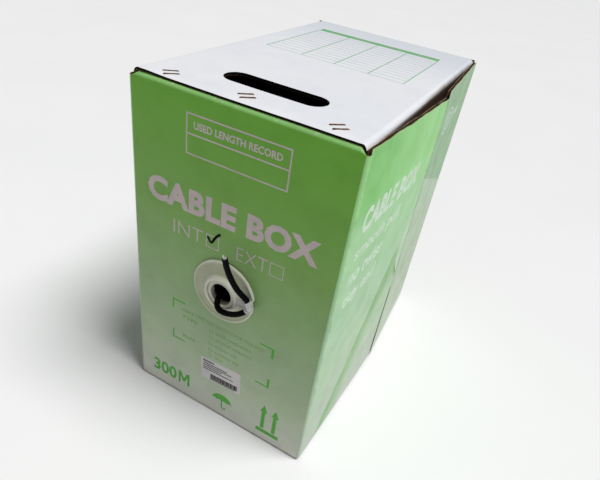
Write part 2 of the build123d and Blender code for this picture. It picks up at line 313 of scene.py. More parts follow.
def front_green(paint, height):
    """The print's fade from green at the top to pale at the foot, by height in metres."""
    stops = [
        (0.0, (0.66, 0.675, 0.59)),
        (0.03, (0.62, 0.645, 0.555)),
        (0.115, (0.51, 0.58, 0.44)),
        (0.2, (0.43, 0.54, 0.355)),
        (0.37, (0.315, 0.456, 0.24)),
        (0.45, (0.29, 0.44, 0.205)),
        (0.67, (0.195, 0.395, 0.085)),
        (0.81, (0.165, 0.40, 0.053)),
        (1.0, (0.14, 0.42, 0.026)),
    ]
    return paint.ramp(paint.math("DIVIDE", height, BOX_H * MM), stops)


def front_paint(name, mirror):
    paint = Paint(name, Specular_IOR_Level=0.3)
    wear = edge_wear(paint, [
        paint.minus(TOP_UNDER * MM, paint.z),
        paint.z,
    ], 0.003)
    # the green fade slants across the face, darker and greener towards one side: partly print, partly
    # painted shade for light that falls unevenly across it
    tilt = paint.times_plus(paint.x, 0.05 * mirror, paint.z)
    # painted highlight: where the print rolls over the top edge it turns pale green, for the light the
    # rounded fold catches
    roll_highlight = paint.times(paint.fade(paint.z, 0.3572, 0.3592), 0.85)
    colour = paint.mix(roll_highlight, front_green(paint, tilt), rgba(0.28, 0.57, 0.19))
    paper_finish(paint, paint.z, colour, wear)
    return paint.material


# the side print's edges, in metres back from the front edge and up: one climbs from
# the foot in a fixed direction, two are arcs about one centre
CLIMB_FOOT = 0.031
CLIMB_BACK, CLIMB_UP = 0.537, 0.844
CURVE_BACK, CURVE_Z = 0.222, 0.187
CURVE_R, INNER_CURVE_R = 0.052, 0.0395
SEAM_BACK = 0.187


def side_paint(name):
    """A side flap's print: two greens, a pale foot, soft edges that slant and curve."""
    paint = Paint(name, Specular_IOR_Level=0.25)
    share_up = paint.math("DIVIDE", paint.z, BOX_H * MM)
    near = paint.ramp(share_up, [
        (0.0, (0.50, 0.55, 0.47)),
        (0.09, (0.47, 0.56, 0.44)),
        (0.31, (0.44, 0.62, 0.40)),
        (0.5, (0.395, 0.635, 0.375)),
        (0.75, (0.37, 0.685, 0.33)),
    ])
    # the rear flap's tones, greyer than the front flap's: partly print, partly painted sheen and shade
    # for that flap's glossy, grazing light
    far = paint.ramp(share_up, [
        (0.0, (0.48, 0.57, 0.44)),
        (0.2, (0.43, 0.54, 0.38)),
        (0.5, (0.42, 0.57, 0.375)),
        (0.72, (0.45, 0.61, 0.42)),
    ])
    # distance back from the front edge
    back = paint.math("ADD", paint.y, HALF_D * MM)
    top_zone = paint.fade(paint.times_plus(back, 0.08, paint.z), 0.280, 0.318)
    upper = paint.mix(paint.fade(back, 0.01, 0.15), rgba(0.20, 0.59, 0.135), rgba(0.32, 0.72, 0.25))
    upper = paint.mix(paint.times(paint.fade(back, 0.007, 0.001), 0.8), upper, rgba(0.40, 0.76, 0.31))
    colour = paint.mix(top_zone, near, upper)
    # the rear flap takes the greyer far tones, partly painted sheen and shade
    rear = paint.fade(back, 0.184, 0.190)
    colour = paint.mix(rear, colour, far)
    # the rear flap's upper part is darker and greyer, above a slanting line
    above = paint.fade(paint.times_plus(back, 0.402, paint.z), 0.3435, 0.3475)
    colour = paint.mix(paint.times(rear, above), colour, rgba(0.265, 0.47, 0.25))

    def glow(colour, off, fall, tone, share, *limits):
        """Tones the positive side of an edge, fading over fall away from it."""
        mask = paint.times(paint.fade(off, -0.001, 0.001), paint.fade(off, fall, 0.0))
        for limit in limits:
            mask = paint.times(mask, limit)
        return paint.mix(paint.times(mask, share), colour, tone)

    leaf = rgba(0.225, 0.47, 0.17)
    pale = rgba(0.62, 0.76, 0.58)
    # an edge that climbs from the foot, darker behind it
    off = paint.times_plus(paint.minus(back, CLIMB_FOOT), CLIMB_UP, paint.times(paint.z, -CLIMB_BACK))
    colour = glow(colour, off, 0.050, leaf, 0.95,
                  paint.fade(paint.z, 0.200, 0.185), paint.fade(back, 0.184, 0.170))
    # a curved edge that takes over from it, darker outside and pale inside
    dx, dz = paint.minus(back, CURVE_BACK), paint.minus(paint.z, CURVE_Z)
    reach = paint.distance(dx, dz)
    beyond = paint.minus(reach, CURVE_R)
    within = paint.minus(CURVE_R, reach)
    near_side = paint.fade(back, 0.215, 0.190)
    colour = glow(colour, beyond, 0.012, rgba(0.13, 0.38, 0.08), 0.95,
                  paint.fade(paint.z, 0.136, 0.148), paint.fade(paint.z, 0.186, 0.160),
                  paint.fade(back, 0.188, 0.186))
    colour = glow(colour, within, 0.010, pale, 0.9, paint.fade(paint.z, 0.132, 0.150), near_side)
    inner = paint.minus(INNER_CURVE_R, reach)
    colour = glow(colour, inner, 0.006, pale, 0.7, paint.fade(paint.z, 0.140, 0.165), near_side)
    # a soft shade across the rear flap's lower part
    sweep_off = paint.absolute(paint.minus(paint.times_plus(back, 0.75, paint.z), 0.296))
    swept = paint.times(paint.fade(sweep_off, 0.022, 0.002), rear)
    colour = paint.mix(paint.times(swept, 0.45), colour, rgba(0.36, 0.47, 0.31))
    wear = edge_wear(paint, [
        paint.minus(FLAP_HIGH * MM, paint.z),
        paint.minus(paint.z, FLAP_LOW * MM),
        paint.absolute(paint.minus(back, SEAM_BACK)),
    ], 0.003)
    paper_finish(paint, paint.z, colour, wear, (0.60, 0.56, 0.46))
    return paint.material


def white_paint(name, side=False):
    """Coated white board, darker towards the rear and along its shoulder's crease as painted shade. A
    side flap's coating is cracked and brown along its crease, and painted darker there as shade.
    """
    paint = Paint(name, Specular_IOR_Level=0.5)
    ends = paint.minus(HALF_D * MM, paint.absolute(paint.y))
    edges = [ends] if side else [paint.minus(INNER_X * MM, paint.absolute(paint.x)), ends]
    cloud = paint.noise(9.0, 3.0)
    tone = paint.mix(paint.fade(cloud, 0.35, 0.7), rgba(0.88, 0.89, 0.915), rgba(0.84, 0.86, 0.905))
    # painted shade: the board is darker and bluer towards the rear, for light that falls off across the
    # top
    tone = paint.mix(paint.fade(paint.y, 0.02, 0.16), tone, rgba(0.74, 0.77, 0.83))
    # painted shade: the shoulder is darkened along its crease, most where the side stands off from it,
    # for the shade in that gap
    lean = paint.times_plus(paint.fade(paint.y, -0.10, -0.01), 0.005, paint.x)
    lean = paint.times_plus(paint.noise(60.0, 3.0), 0.002, lean)
    painted_shade = paint.times(paint.fade(lean, 0.1075, 0.1125), paint.fade(paint.y, 0.172, 0.140))
    tone = paint.mix(painted_shade, tone, rgba(0.10, 0.07, 0.05))
    if side:
        # the side's crease band: cracked coating shows brown board, painted near black as well, for the
        # shade under the shoulder
        ragged = paint.times_plus(paint.noise(30.0, 4.0), 0.004, paint.z)
        bare_and_shaded = paint.mix(paint.fade(paint.noise(500.0, 4.0), 0.3, 0.7), rgba(0.11, 0.07, 0.042),
                         rgba(0.05, 0.032, 0.02))
        crack_and_shade = paint.times(paint.fade(ragged, 0.3635, 0.356), paint.fade(ragged, 0.335, 0.350))
        tone = paint.mix(crack_and_shade, paint.mix(paint.fade(paint.z, 0.355, 0.350), tone,
                                          rgba(0.80, 0.81, 0.82)), bare_and_shaded)
    paper_finish(paint, paint.y, tone, edge_wear(paint, edges, 0.004), (0.62, 0.60, 0.57))
    return paint.material


def kraft_paint(name, light, dark, shaded_below=None):
    """Raw brown board: fibres, flecks and a torn, matte edge. Below the given height in mm it turns
    nearly black: painted shade for cut edges that stand in shadow."""
    paint = Paint(name, Specular_IOR_Level=0.2)
    fibre = paint.noise(700.0, 5.0, 0.75, (1.0, 1.0, 0.25))
    fleck = paint.noise(260.0, 3.0, 0.7)
    tone = paint.mix(paint.fade(fibre, 0.3, 0.7), rgba(*dark), rgba(*light))
    tone = paint.mix(paint.fade(fleck, 0.62, 0.72), tone, shaded(dark, 0.6))
    if shaded_below:
        # painted shade: near black below the given height, for edges in shadow
        painted_shade = paint.fade(paint.z, (shaded_below + 12.0) * MM, shaded_below * MM)
        tone = paint.mix(painted_shade, tone, rgba(0.016, 0.011, 0.008))
    paint.colour(tone)
    paint.bump(fibre, 0.12, 0.8)
    paint.rough(fibre, 0.8, 0.95)
    return paint.material


def ink_paint(name, colour, roughness=0.4, thin=0.0, shine=0.25):
    """Printing ink on board, a little uneven; thin lets the paper show as specks."""
    paint = Paint(name, Specular_IOR_Level=shine)
    cloud = paint.noise(60.0, 3.0)
    grain = paint.noise(900.0, 4.0, 0.7)
    tone = paint.mix(paint.fade(cloud, 0.3, 0.7), rgba(*colour), shaded(colour, 0.88))
    if thin:
        specks = paint.times(paint.fade(grain, 0.52, 0.68), thin)
        tone = paint.mix(specks, tone, rgba(0.80, 0.80, 0.76))
    paint.colour(tone)
    paint.bump(grain, 0.02, 0.5)
    paint.rough(grain, roughness - 0.06, roughness + 0.08)
    return paint.material


def plastic_paint(name, colour, rubbed_and_shaded=None, disc=None):
    """Moulded plastic: faint flow marks, fine grain, a waxy depth. From the first to the second
    of two given depths, in mm behind the panel's face, it fades to near black and stays so deeper in:
    painted shade in the bore, with streaks of cable black rubbed off where the black begins.
    disc is the darker tone of the flange's dish; the rim beyond it keeps the lighter tone as a painted
    highlight."""
    paint = Paint(name, Specular_IOR_Level=0.5, Subsurface_Weight=0.12, Subsurface_Scale=0.002)
    flow = paint.noise(70.0, 3.0, 0.6, (1.0, 0.4, 1.0))
    grain = paint.noise(1400.0, 2.0)
    tone = paint.mix(paint.fade(flow, 0.35, 0.7), rgba(*colour), shaded(colour, 0.9, 0.9, 0.86))
    dust = paint.times(paint.fade(paint.noise(340.0, 5.0, 0.8), 0.6, 0.72), 0.2)
    tone = paint.mix(dust, tone, rgba(0.45, 0.44, 0.38))
    if disc:
        # the dish takes the darker disc tone; the rim beyond it keeps the lighter tone as a painted
        # highlight
        rise = paint.minus(paint.z, PAYOUT_Z * MM)
        reach = paint.distance(paint.x, rise)
        thin = paint.times(paint.fade(reach, 0.0182, 0.0215), paint.fade(reach, 0.0332, 0.0318))
        dish_tone = paint.mix(paint.fade(flow, 0.3, 0.7), rgba(*disc), shaded(disc, 0.9, 0.92, 0.86))
        tone = paint.mix(thin, tone, dish_tone)
    # painted shade: past the given depths the bore is near black, with rub streaks where the black
    # begins
    if rubbed_and_shaded:
        streaks = paint.times_plus(paint.noise(180.0, 4.0, 0.6, (1.0, 0.25, 1.0)), 0.004, paint.y)
        share = paint.fade(streaks, (FRONT_FACE + rubbed_and_shaded[0]) * MM, (FRONT_FACE + rubbed_and_shaded[1]) * MM)
        tone = paint.mix(share, tone, rgba(0.012, 0.012, 0.011))
    paint.colour(tone)
    paint.bump(grain, 0.02, 0.5)
    paint.bump(flow, 0.12, 0.4)
    paint.rough(flow, 0.28, 0.42)
    return paint.material


def jacket_paint(name, colour, roughness):
    """Cable jacket: black, satin, with drawn streaks and handling dust."""
    paint = Paint(name, Specular_IOR_Level=0.04)
    streak = paint.noise(500.0, 4.0, 0.6)
    dust = paint.fade(paint.noise(90.0, 5.0, 0.7), 0.55, 0.8)
    lighter = rgba(*[channel * 2.0 + 0.004 for channel in colour])
    paint.colour(paint.mix(dust, rgba(*colour), lighter))
    paint.bump(streak, 0.03, 0.6)
    paint.rough(streak, roughness - 0.08, roughness + 0.1)
    return paint.material


def metal_paint(name, colour, tarnish, roughness):
    """Drawn wire: streaked, with darker tarnish in patches."""
    paint = Paint(name, Metallic=1.0)
    streak = paint.noise(900.0, 4.0, 0.7)
    patch = paint.noise(220.0, 4.0, 0.7)
    paint.colour(paint.mix(paint.fade(patch, 0.4, 0.68), rgba(*colour), rgba(*tarnish)))
    paint.bump(streak, 0.03, 0.6)
    paint.rough(patch, roughness - 0.08, roughness + 0.15)
    return paint.material


def film_paint(name):
    """Thin crumpled white film."""
    paint = Paint(name, Specular_IOR_Level=0.6, Subsurface_Weight=0.2, Subsurface_Scale=0.0015)
    crease = paint.noise(520.0, 5.0, 0.7)
    paint.colour(paint.mix(paint.fade(crease, 0.35, 0.65), rgba(0.62, 0.62, 0.59),
                           rgba(0.45, 0.46, 0.44)))
    paint.bump(crease, 0.35, 0.9)
    paint.rough(crease, 0.2, 0.42)
    return paint.material


FRONT_PRINT = front_paint("print_front", 1)
BACK_PRINT = front_paint("print_back", -1)
RIGHT_PRINT = side_paint("print_right")
LEFT_PRINT = side_paint("print_left")
WHITE_TOP = white_paint("white_board_top")
WHITE_SIDE = white_paint("white_board_side", True)
KRAFT = kraft_paint("kraft_liner", (0.44, 0.30, 0.18), (0.30, 0.19, 0.10))
FLUTE = kraft_paint("kraft_medium", (0.11, 0.068, 0.036), (0.045, 0.028, 0.015))
# the flaps' cut edges: brown, and near black low down as painted shade
KRAFT_RIM = kraft_paint("kraft_raw_rim", (0.50, 0.35, 0.22), (0.15, 0.09, 0.05), 335.0)
# the top panel's cut edges, near black: painted shade for edges that sit in shadow
KRAFT_SHADED = kraft_paint("kraft_rim_shaded", (0.045, 0.03, 0.02), (0.014, 0.010, 0.008))
INK_WHITE = ink_paint("ink_white", (0.58, 0.50, 0.49), 0.42)
INK_WHITE_SIDE = ink_paint("ink_white_side", (0.66, 0.82, 0.66), 0.42)
INK_SOFT_SIDE = ink_paint("ink_soft_side", (0.52, 0.68, 0.54), 0.42)
INK_GREEN = ink_paint("ink_green", (0.075, 0.42, 0.03), 0.4, 0.06)
INK_FAINT = ink_paint("ink_faint_green", (0.17, 0.40, 0.09), 0.4, 0.15)
INK_TABLE = ink_paint("ink_table_line", (0.50, 0.60, 0.54), 0.45)
INK_TABLE_RULE = ink_paint("ink_table_rule", (0.28, 0.52, 0.32), 0.45)
INK_TABLE_GREEN = ink_paint("ink_table_header", (0.19, 0.50, 0.22), 0.45)
INK_BLACK = ink_paint("ink_black", (0.008, 0.008, 0.009), 0.45, 0.04)
PEN_BLACK = ink_paint("pen_black", (0.002, 0.002, 0.002), 0.4, shine=0.04)
LABEL_PAPER = ink_paint("label_paper", (0.65, 0.635, 0.625), 0.36)
PLASTIC = plastic_paint("moulded_white", (0.69, 0.69, 0.59), disc=(0.40, 0.43, 0.285))
# the tube's bore behind the panel is painted near black: painted shade, with rub streaks at its edge
PLASTIC_TUBE = plastic_paint("moulded_white_tube", (0.69, 0.68, 0.59), (-1.0, 2.5))
JACKET = jacket_paint("cable_jacket_black", (0.003, 0.003, 0.0035), 0.3)
COIL_JACKET = jacket_paint("wound_jacket_black", (0.006, 0.006, 0.007), 0.42)
COPPER = metal_paint("staple_copper", (0.50, 0.30, 0.19), (0.13, 0.075, 0.05), 0.4)
WIRE_METAL = metal_paint("conductor_bright", (0.86, 0.83, 0.78), (0.55, 0.50, 0.42), 0.25)
FILM = film_paint("tie_film")

# ---------------------------------------------------------------- surfaces
# Each panel is laid out flat as (u, v, depth below its outer face) and then
# folded into place. Every place function takes and returns millimetres.


class Outline:
    """A board's outer face in section: straight runs and clockwise folds, by distance along it."""

    def __init__(self, start, heading, runs):
        self.parts = []
        at = np.array(start, float)
        angle = math.radians(heading)
        begin = 0.0
        for kind, size, turn in runs:
            length = size if kind == "run" else size * math.radians(turn)
            self.parts.append((begin, length, at.copy(), angle, None if kind == "run" else size))
            if kind == "run":
                at = at + length * np.array([math.cos(angle), math.sin(angle)])
            else:
                normal = np.array([-math.sin(angle), math.cos(angle)])
                centre = at - size * normal
                angle -= math.radians(turn)
                at = centre + size * np.array([-math.sin(angle), math.cos(angle)])
            begin += length

    def at(self, s):
        """Place on the outer face and outward direction, at distances s along it."""
        place = np.zeros((len(s), 2))
        normal = np.zeros((len(s), 2))
        last = len(self.parts) - 1
        for index, (begin, length, start, angle, radius) in enumerate(self.parts):
            low = -1e9 if index == 0 else begin
            high = 1e9 if index == last else begin + length
            here = (s >= low) & (s <= high)
            run = s[here] - begin
            if radius is None:
                place[here] = start + run[:, None] * np.array([math.cos(angle), math.sin(angle)])
                normal[here] = (-math.sin(angle), math.cos(angle))
            else:
                turned = angle - run / radius
                first = np.array([-math.sin(angle), math.cos(angle)])
                outward = np.stack([-np.sin(turned), np.cos(turned)], 1)
                place[here] = start - radius * first + radius * outward
                normal[here] = outward
        return place, normal


QUARTER = math.pi / 2
FRONT_LOW = LOW_FOLD - LOW_FOLD * QUARTER
# the height where the front and back panels' straight runs end
FRONT_FLAT = 357.0
BACK_FLAT = 360.0
FRONT_HIGH = FRONT_FLAT + HIGH_FOLD * QUARTER
BACK_HIGH = BACK_FLAT + HIGH_FOLD * QUARTER
TOP_FLAT = INNER_X - SHOULDER
TOP_REACH = TOP_FLAT + SHOULDER * QUARTER
WALL_HALF = HALF_W - CORNER_CUT


def panel_outline(start, heading, first, run, last):
    """A fold, a straight run and a second fold."""
    return Outline(start, heading, [("fold", first, 90), ("run", run, 0), ("fold", last, 90)])


front_outline = panel_outline((FRONT_FACE + LOW_FOLD, 0.0), 180, LOW_FOLD, FRONT_FLAT - LOW_FOLD,
                              HIGH_FOLD)
back_outline = panel_outline((HALF_D - HIGH_FOLD, BOX_H), 0, HIGH_FOLD, BACK_FLAT - LOW_FOLD, LOW_FOLD)
top_outline = panel_outline((-INNER_X, BOX_H - SHOULDER), 90, SHOULDER, 2 * TOP_FLAT, SHOULDER)
bottom_outline = panel_outline((INNER_X, SHOULDER), -90, SHOULDER, 2 * TOP_FLAT, SHOULDER)


def wall(outline, u, s, d):
    """A wall's points: u across, s along its outline and d below its face."""
    place, normal = outline.at(s)
    yz = place - d[:, None] * normal
    return np.stack([u, yz[:, 0], yz[:, 1]], 1)


# where the front's folded top edge is crushed: from how far across, over how much,
# above what height and by what share
CRUSH_ACROSS, CRUSH_FADE = 100.6, 1.6
CRUSH_ABOVE, CRUSH_SHARE = 356.4, 0.96


def front_place(u, v, d):
    """The folded top edge is crushed down at both corners, which leaves a dark hole there."""
    crushed = CRUSH_SHARE * smooth((np.abs(u) - CRUSH_ACROSS) / CRUSH_FADE)
    v = v - crushed * np.maximum(v - CRUSH_ABOVE, 0.0)
    return wall(front_outline, u, v - FRONT_LOW, d)


def back_place(u, v, d):
    return wall(back_outline, u, BACK_HIGH - v, d)


TOP_FRONT = FRONT_FACE + 2.6
CRUSH_BACK = -163.0


def top_place(u, v, d):
    """The front 9 mm is crushed flat, and its left end lifts."""
    place, normal = top_outline.at(u + TOP_REACH)
    crush = smooth((CRUSH_BACK - v) / (CRUSH_BACK - TOP_FRONT))
    lift = 1.0 * crush * smooth((-66.0 - u) / 30.0)
    sag = 0.5 * np.exp(-((u - 1.0) / 60.0) ** 2 - ((v + 128.0) / 26.0) ** 2)
    depth = d * (1.0 - 0.5 * crush) + 0.9 * crush - lift + sag * (1.0 - crush)
    xz = place - depth[:, None] * normal
    return np.stack([xz[:, 0], v, xz[:, 1]], 1)


def bottom_place(u, v, d):
    place, normal = bottom_outline.at(TOP_REACH - u)
    xz = place - d[:, None] * normal
    return np.stack([xz[:, 0], v, xz[:, 1]], 1)


def tab_place(u, v, d):
    return np.stack([u, v, TOP_UNDER - d], 1)


# how far an inner flap leans in, and within what distance of its crease
INNER_LEAN, LEAN_RUN = 3.1, 26.0


def inner_flap_place(side):
    """u runs back and v up. The flap leans in from its crease, which leaves room for
    the outer flaps to press flush over it."""
    def place(u, v, d):
        lean = INNER_LEAN * smooth((np.minimum(v, BOX_H - v) - SHOULDER) / LEAN_RUN)
        return np.stack([side * (INNER_X - d - lean), u, v], 1)
    return place


def ripple(a, b, seed):
    """Slow unevenness of a loose flap, about 0 to 1."""
    return 0.5 + 0.25 * (np.sin(a / 31.0 + seed) + np.sin(b / 47.0 + 1.7 * seed) * np.cos(a / 60.0))


# the right seam gapes below this height; above it each flap's edge closes in by this much
SLIT_TOP = 121.0
SEAM_CLOSE = 0.68


def flap_place(side, end, opened, reach, tuck, seed, rise_crease, rise_free):
    """u is the distance from the crease, v the height. The flap bows a little, tuck
    draws the low end of its free edge inwards, and the rises lift its cut top edge."""
    swing = math.radians(opened)
    along = np.array([side * math.sin(swing), -end * math.cos(swing)])
    out = np.array([side * math.cos(swing), end * math.sin(swing)])
    corner = np.array([side * HALF_W, end * HALF_D])

    def place(u, v, d):
        share = np.clip(u / reach, 0.0, 1.0)
        bow = -0.1 * np.sin(math.pi * share) - 0.25 * share * ripple(u, v, seed)
        low = smooth((SLIT_TOP - v) / 110.0) * 0.5 + smooth((SLIT_TOP + 4.0 - v) / 8.0) * 0.5
        high = smooth((v - 335.0) / 24.0)
        bow = bow - tuck * share**2 * low - 0.3 * share * high
        rise = rise_crease + (rise_free - rise_crease) * share
        rise = rise * smooth((v - 250.0) / (FLAP_HIGH - 250.0))
        torn = 0.45 * np.sin(u / 8.3 + 2.0 * seed + 0.9 * d) + 0.3 * np.sin(u / 3.7 + 1.7 * d + seed)
        rise = rise + torn * smooth((v - 351.0) / 8.0)
        meet = SEAM_CLOSE * smooth((v - SLIT_TOP) / 2.0) * smooth((u - reach + 9.0) / 9.0)
        xy = corner + (u + meet)[:, None] * along + (bow - d)[:, None] * out
        return np.stack([xy[:, 0], xy[:, 1], v + rise], 1)
    return place


# ---------------------------------------------------------------- mesh making


def shade(mesh, angle=40.0):
    """Smooth shading with edges sharper than the angle kept crisp."""
    mesh.shade_smooth()
    mesh.set_sharp_from_angle(angle=math.radians(angle))


def mesh_object(name, points, faces, materials, indices=None, angle=40.0, tidy=False):
    """A piece from points in mm."""
    mesh = bpy.data.meshes.new(name)
    mesh.from_pydata((np.asarray(points) * MM).tolist(), [], faces)
    for material in materials:
        mesh.materials.append(material)
    if indices is not None:
        mesh.polygons.foreach_set("material_index", np.asarray(indices, np.int32))
    if tidy:
        bm = bmesh.new()
        bm.from_mesh(mesh)
        bmesh.ops.recalc_face_normals(bm, faces=bm.faces)
        bm.to_mesh(mesh)
        bm.free()
    mesh.validate()
    shade(mesh, angle)
    return link(bpy.data.objects.new(name, mesh))


def settle(obj, body, slot, *nodes):
    """The piece rides on its body and stands for its CAD nodes, which it hides; slot is not used."""
    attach(obj, body)
    if nodes:
        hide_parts(*nodes)
    return obj


def stations(low, high, step, close=()):
    """Even stations from low to high, with closer ones in the given stretches."""
    values = set(np.round(np.arange(math.ceil(low / step), math.floor(high / step) + 1) * step, 4))
    for start, stop, fine in close:
        values = {v for v in values if not start <= v <= stop}
        values |= set(np.round(np.linspace(start, stop, max(2, int((stop - start) / fine) + 1)), 4))
    kept = [v for v in sorted(values) if low + 0.25 * min(step, 1.0) < v < high - 0.25 * min(step, 1.0)]
    return np.array([low, *kept, high])


def wave_height(distance):
    """Washboard depth of the outer face over the flutes, in mm."""
    return WASHBOARD * 0.5 * (1 - np.cos(2 * math.pi * distance / PITCH))


def layer(us, vs, upper, lower, ragged, rng):
    """A closed sheet between two depths, flat. Its rim is ragged by that much."""
    columns, rows = len(us), len(vs)
    grid_u, grid_v = np.meshgrid(us, vs, indexing="ij")
    grid_u, grid_v = grid_u.copy(), grid_v.copy()
    for target, axis in ((grid_u, 0), (grid_v, 1)):
        count = target.shape[1 - axis]
        for edge, sign in ((0, 1), (-1, -1)):
            steps = np.abs(np.convolve(rng.standard_normal(count + 6), np.ones(7) / 2.6, "valid"))
            shift = np.minimum(steps * ragged, 2.5 * ragged) * sign
            if axis == 0:
                target[edge, :] += shift
            else:
                target[:, edge] += shift
    flat = []
    for depth in (upper, lower):
        flat.append(np.stack([grid_u.ravel(), grid_v.ravel(), depth(grid_u, grid_v).ravel()], 1))
    points = np.concatenate(flat)
    index = np.arange(columns * rows).reshape(columns, rows)
    a, b = index[:-1, :-1].ravel(), index[1:, :-1].ravel()
    c, e = index[1:, 1:].ravel(), index[:-1, 1:].ravel()
    below = columns * rows
    top = np.stack([a, b, c, e], 1)
    base = np.stack([a, e, c, b], 1) + below
    rim = []
    for line in (index[:, 0], index[-1, :], index[::-1, -1], index[0, ::-1]):
        first, second = line[:-1], line[1:]
        rim.append(np.stack([second, first, first + below, second + below], 1))
    rim = np.concatenate(rim)
    return points, top, base, rim


def prism_faces(count):
    """Faces of a closed prism: its points are one outline, then the other."""
    faces = [list(range(count))[::-1], list(range(count, 2 * count))]
    for i in range(count):
        j = (i + 1) % count
        faces.append([i, j, j + count, i + count])
    return faces


def torus_faces(rings, around):
    """Faces of rings of points, each joined to the next and the last to the first."""
    k, i = (grid.ravel() for grid in np.meshgrid(np.arange(rings), np.arange(around), indexing="ij"))
    m, j = (k + 1) % rings, (i + 1) % around
    return np.stack([k * around + i, k * around + j, m * around + j, m * around + i], 1)


def carve(obj, cutter):
    """Cuts the cutter's solid out of a piece and removes the cutter."""
    modifier = obj.modifiers.new("cut", "BOOLEAN")
    modifier.operation = "DIFFERENCE"
    modifier.solver = "EXACT"
    modifier.object = cutter
    cut = evaluated_mesh(obj)
    obj.modifiers.clear()
    obj.data = cut
    bpy.data.objects.remove(cutter)
    return cut


def cut_flat(mesh, prisms, material_index):
    """Cuts upright prisms, given as outlines in (u, v), out of a flat mesh."""
    obj = link(bpy.data.objects.new("blank", mesh))
    for outline in prisms:
        points = [(u, v, level) for level in (-2.0, 2 * BOARD) for u, v in outline]
        cutter_mesh = bpy.data.meshes.new("cutter")
        cutter_mesh.from_pydata(points, [], prism_faces(len(outline)))
        for material in mesh.materials:
            cutter_mesh.materials.append(material)
        for polygon in cutter_mesh.polygons:
            polygon.material_index = material_index
        carve(obj, link(bpy.data.objects.new("cutter", cutter_mesh)))
    result = obj.data
    bpy.data.objects.remove(obj)
    return result


SURFACES = {}


def board(name, body, slot, node, place, us, vs, flutes, face, prisms=(), ragged=0.12, seed=1, wash=1.0,
          rims=None, recess=0.0):
    """A corrugated panel of three sheets. flutes is the direction they run in, u or v.
    rims are the finishes of the cut edges, and recess is how far the medium stops short
    of the edges that run along the flutes."""
    across = 1 if flutes == "u" else 0
    rng = np.random.default_rng(seed)
    mid = BOARD / 2
    swing = mid - LINER - MEDIUM / 2

    def pick(u, v):
        return v if across else u

    def fluting(u, v):
        return mid + swing * np.cos(2 * math.pi * pick(u, v) / PITCH)

    crossing, coarse = (vs, us) if across else (us, vs)
    fine = PITCH / 10
    fine_across = np.arange(math.ceil(crossing[0] / fine), math.floor(crossing[-1] / fine) + 1) * fine
    low, high = crossing[0] + recess, crossing[-1] - recess
    fine_across = np.array([low, *[f for f in fine_across if low + 0.1 < f < high - 0.1], high])
    # the medium needs only every second station along the flutes
    thin = coarse
    if len(coarse) >= 30:
        thin = coarse[::2] if len(coarse) % 2 else np.append(coarse[:-1:2], coarse[-1])
    medium_us, medium_vs = (thin, fine_across) if across else (fine_across, thin)
    sheets = [
        (us, vs, lambda u, v: wash * wave_height(pick(u, v)), lambda u, v: LINER + 0 * u, ragged,
         (0, 2, 3)),
        (medium_us, medium_vs, lambda u, v: fluting(u, v) - MEDIUM / 2,
         lambda u, v: fluting(u, v) + MEDIUM / 2, ragged * 2.2, (2, 2, 2)),
        (us, vs, lambda u, v: BOARD - LINER + 0 * u, lambda u, v: BOARD + 0 * u, ragged, (2, 1, 3)),
    ]
    points, faces, indices, start = [], [], [], 0
    for sheet_us, sheet_vs, upper, lower, rim_rag, slots in sheets:
        flat, top, base, rim = layer(sheet_us, sheet_vs, upper, lower, rim_rag, rng)
        points.append(flat)
        faces.append(np.concatenate([top, base, rim]) + start)
        indices += [slots[0]] * len(top) + [slots[1]] * len(base) + [slots[2]] * len(rim)
        start += len(flat)
    mesh = bpy.data.meshes.new(name)
    mesh.from_pydata(np.concatenate(points).tolist(), [], np.concatenate(faces).tolist())
    rim_liner, rim_medium = rims or (KRAFT, FLUTE)
    for material in (face, KRAFT, rim_medium, rim_liner):
        mesh.materials.append(material)
    mesh.polygons.foreach_set("material_index", np.array(indices, np.int32))
    if prisms:
        mesh = cut_flat(mesh, prisms, 3)
    flat = np.zeros(len(mesh.vertices) * 3)
    mesh.vertices.foreach_get("co", flat)
    flat = flat.reshape(-1, 3)
    folded = place(flat[:, 0], flat[:, 1], flat[:, 2]) * MM
    mesh.vertices.foreach_set("co", folded.ravel())
    mesh.update()
    bm = bmesh.new()
    bm.from_mesh(mesh)
    bmesh.ops.recalc_face_normals(bm, faces=bm.faces)
    bm.to_mesh(mesh)
    bm.free()
    shade(mesh, 50.0)
    obj = link(bpy.data.objects.new(name, mesh))
    settle(obj, body, slot, node)
    SURFACES[name] = (body, place, us, vs, across, wash)
    return obj


def circle(u, v, radius, count=72):
    return [(u + radius * math.cos(2 * math.pi * k / count),
             v + radius * math.sin(2 * math.pi * k / count)) for k in range(count)]


def oblong(u, v, length, width, count=20):
    """An outline with round ends."""
    half = (length - width) / 2
    right = [(u + half + width / 2 * math.cos(a),
              v + width / 2 * math.sin(a)) for a in np.linspace(-QUARTER, QUARTER, count)]
    left = [(u - half - width / 2 * math.cos(a),
             v - width / 2 * math.sin(a)) for a in np.linspace(-QUARTER, QUARTER, count)]
    return right + left


# ---------------------------------------------------------------- carton

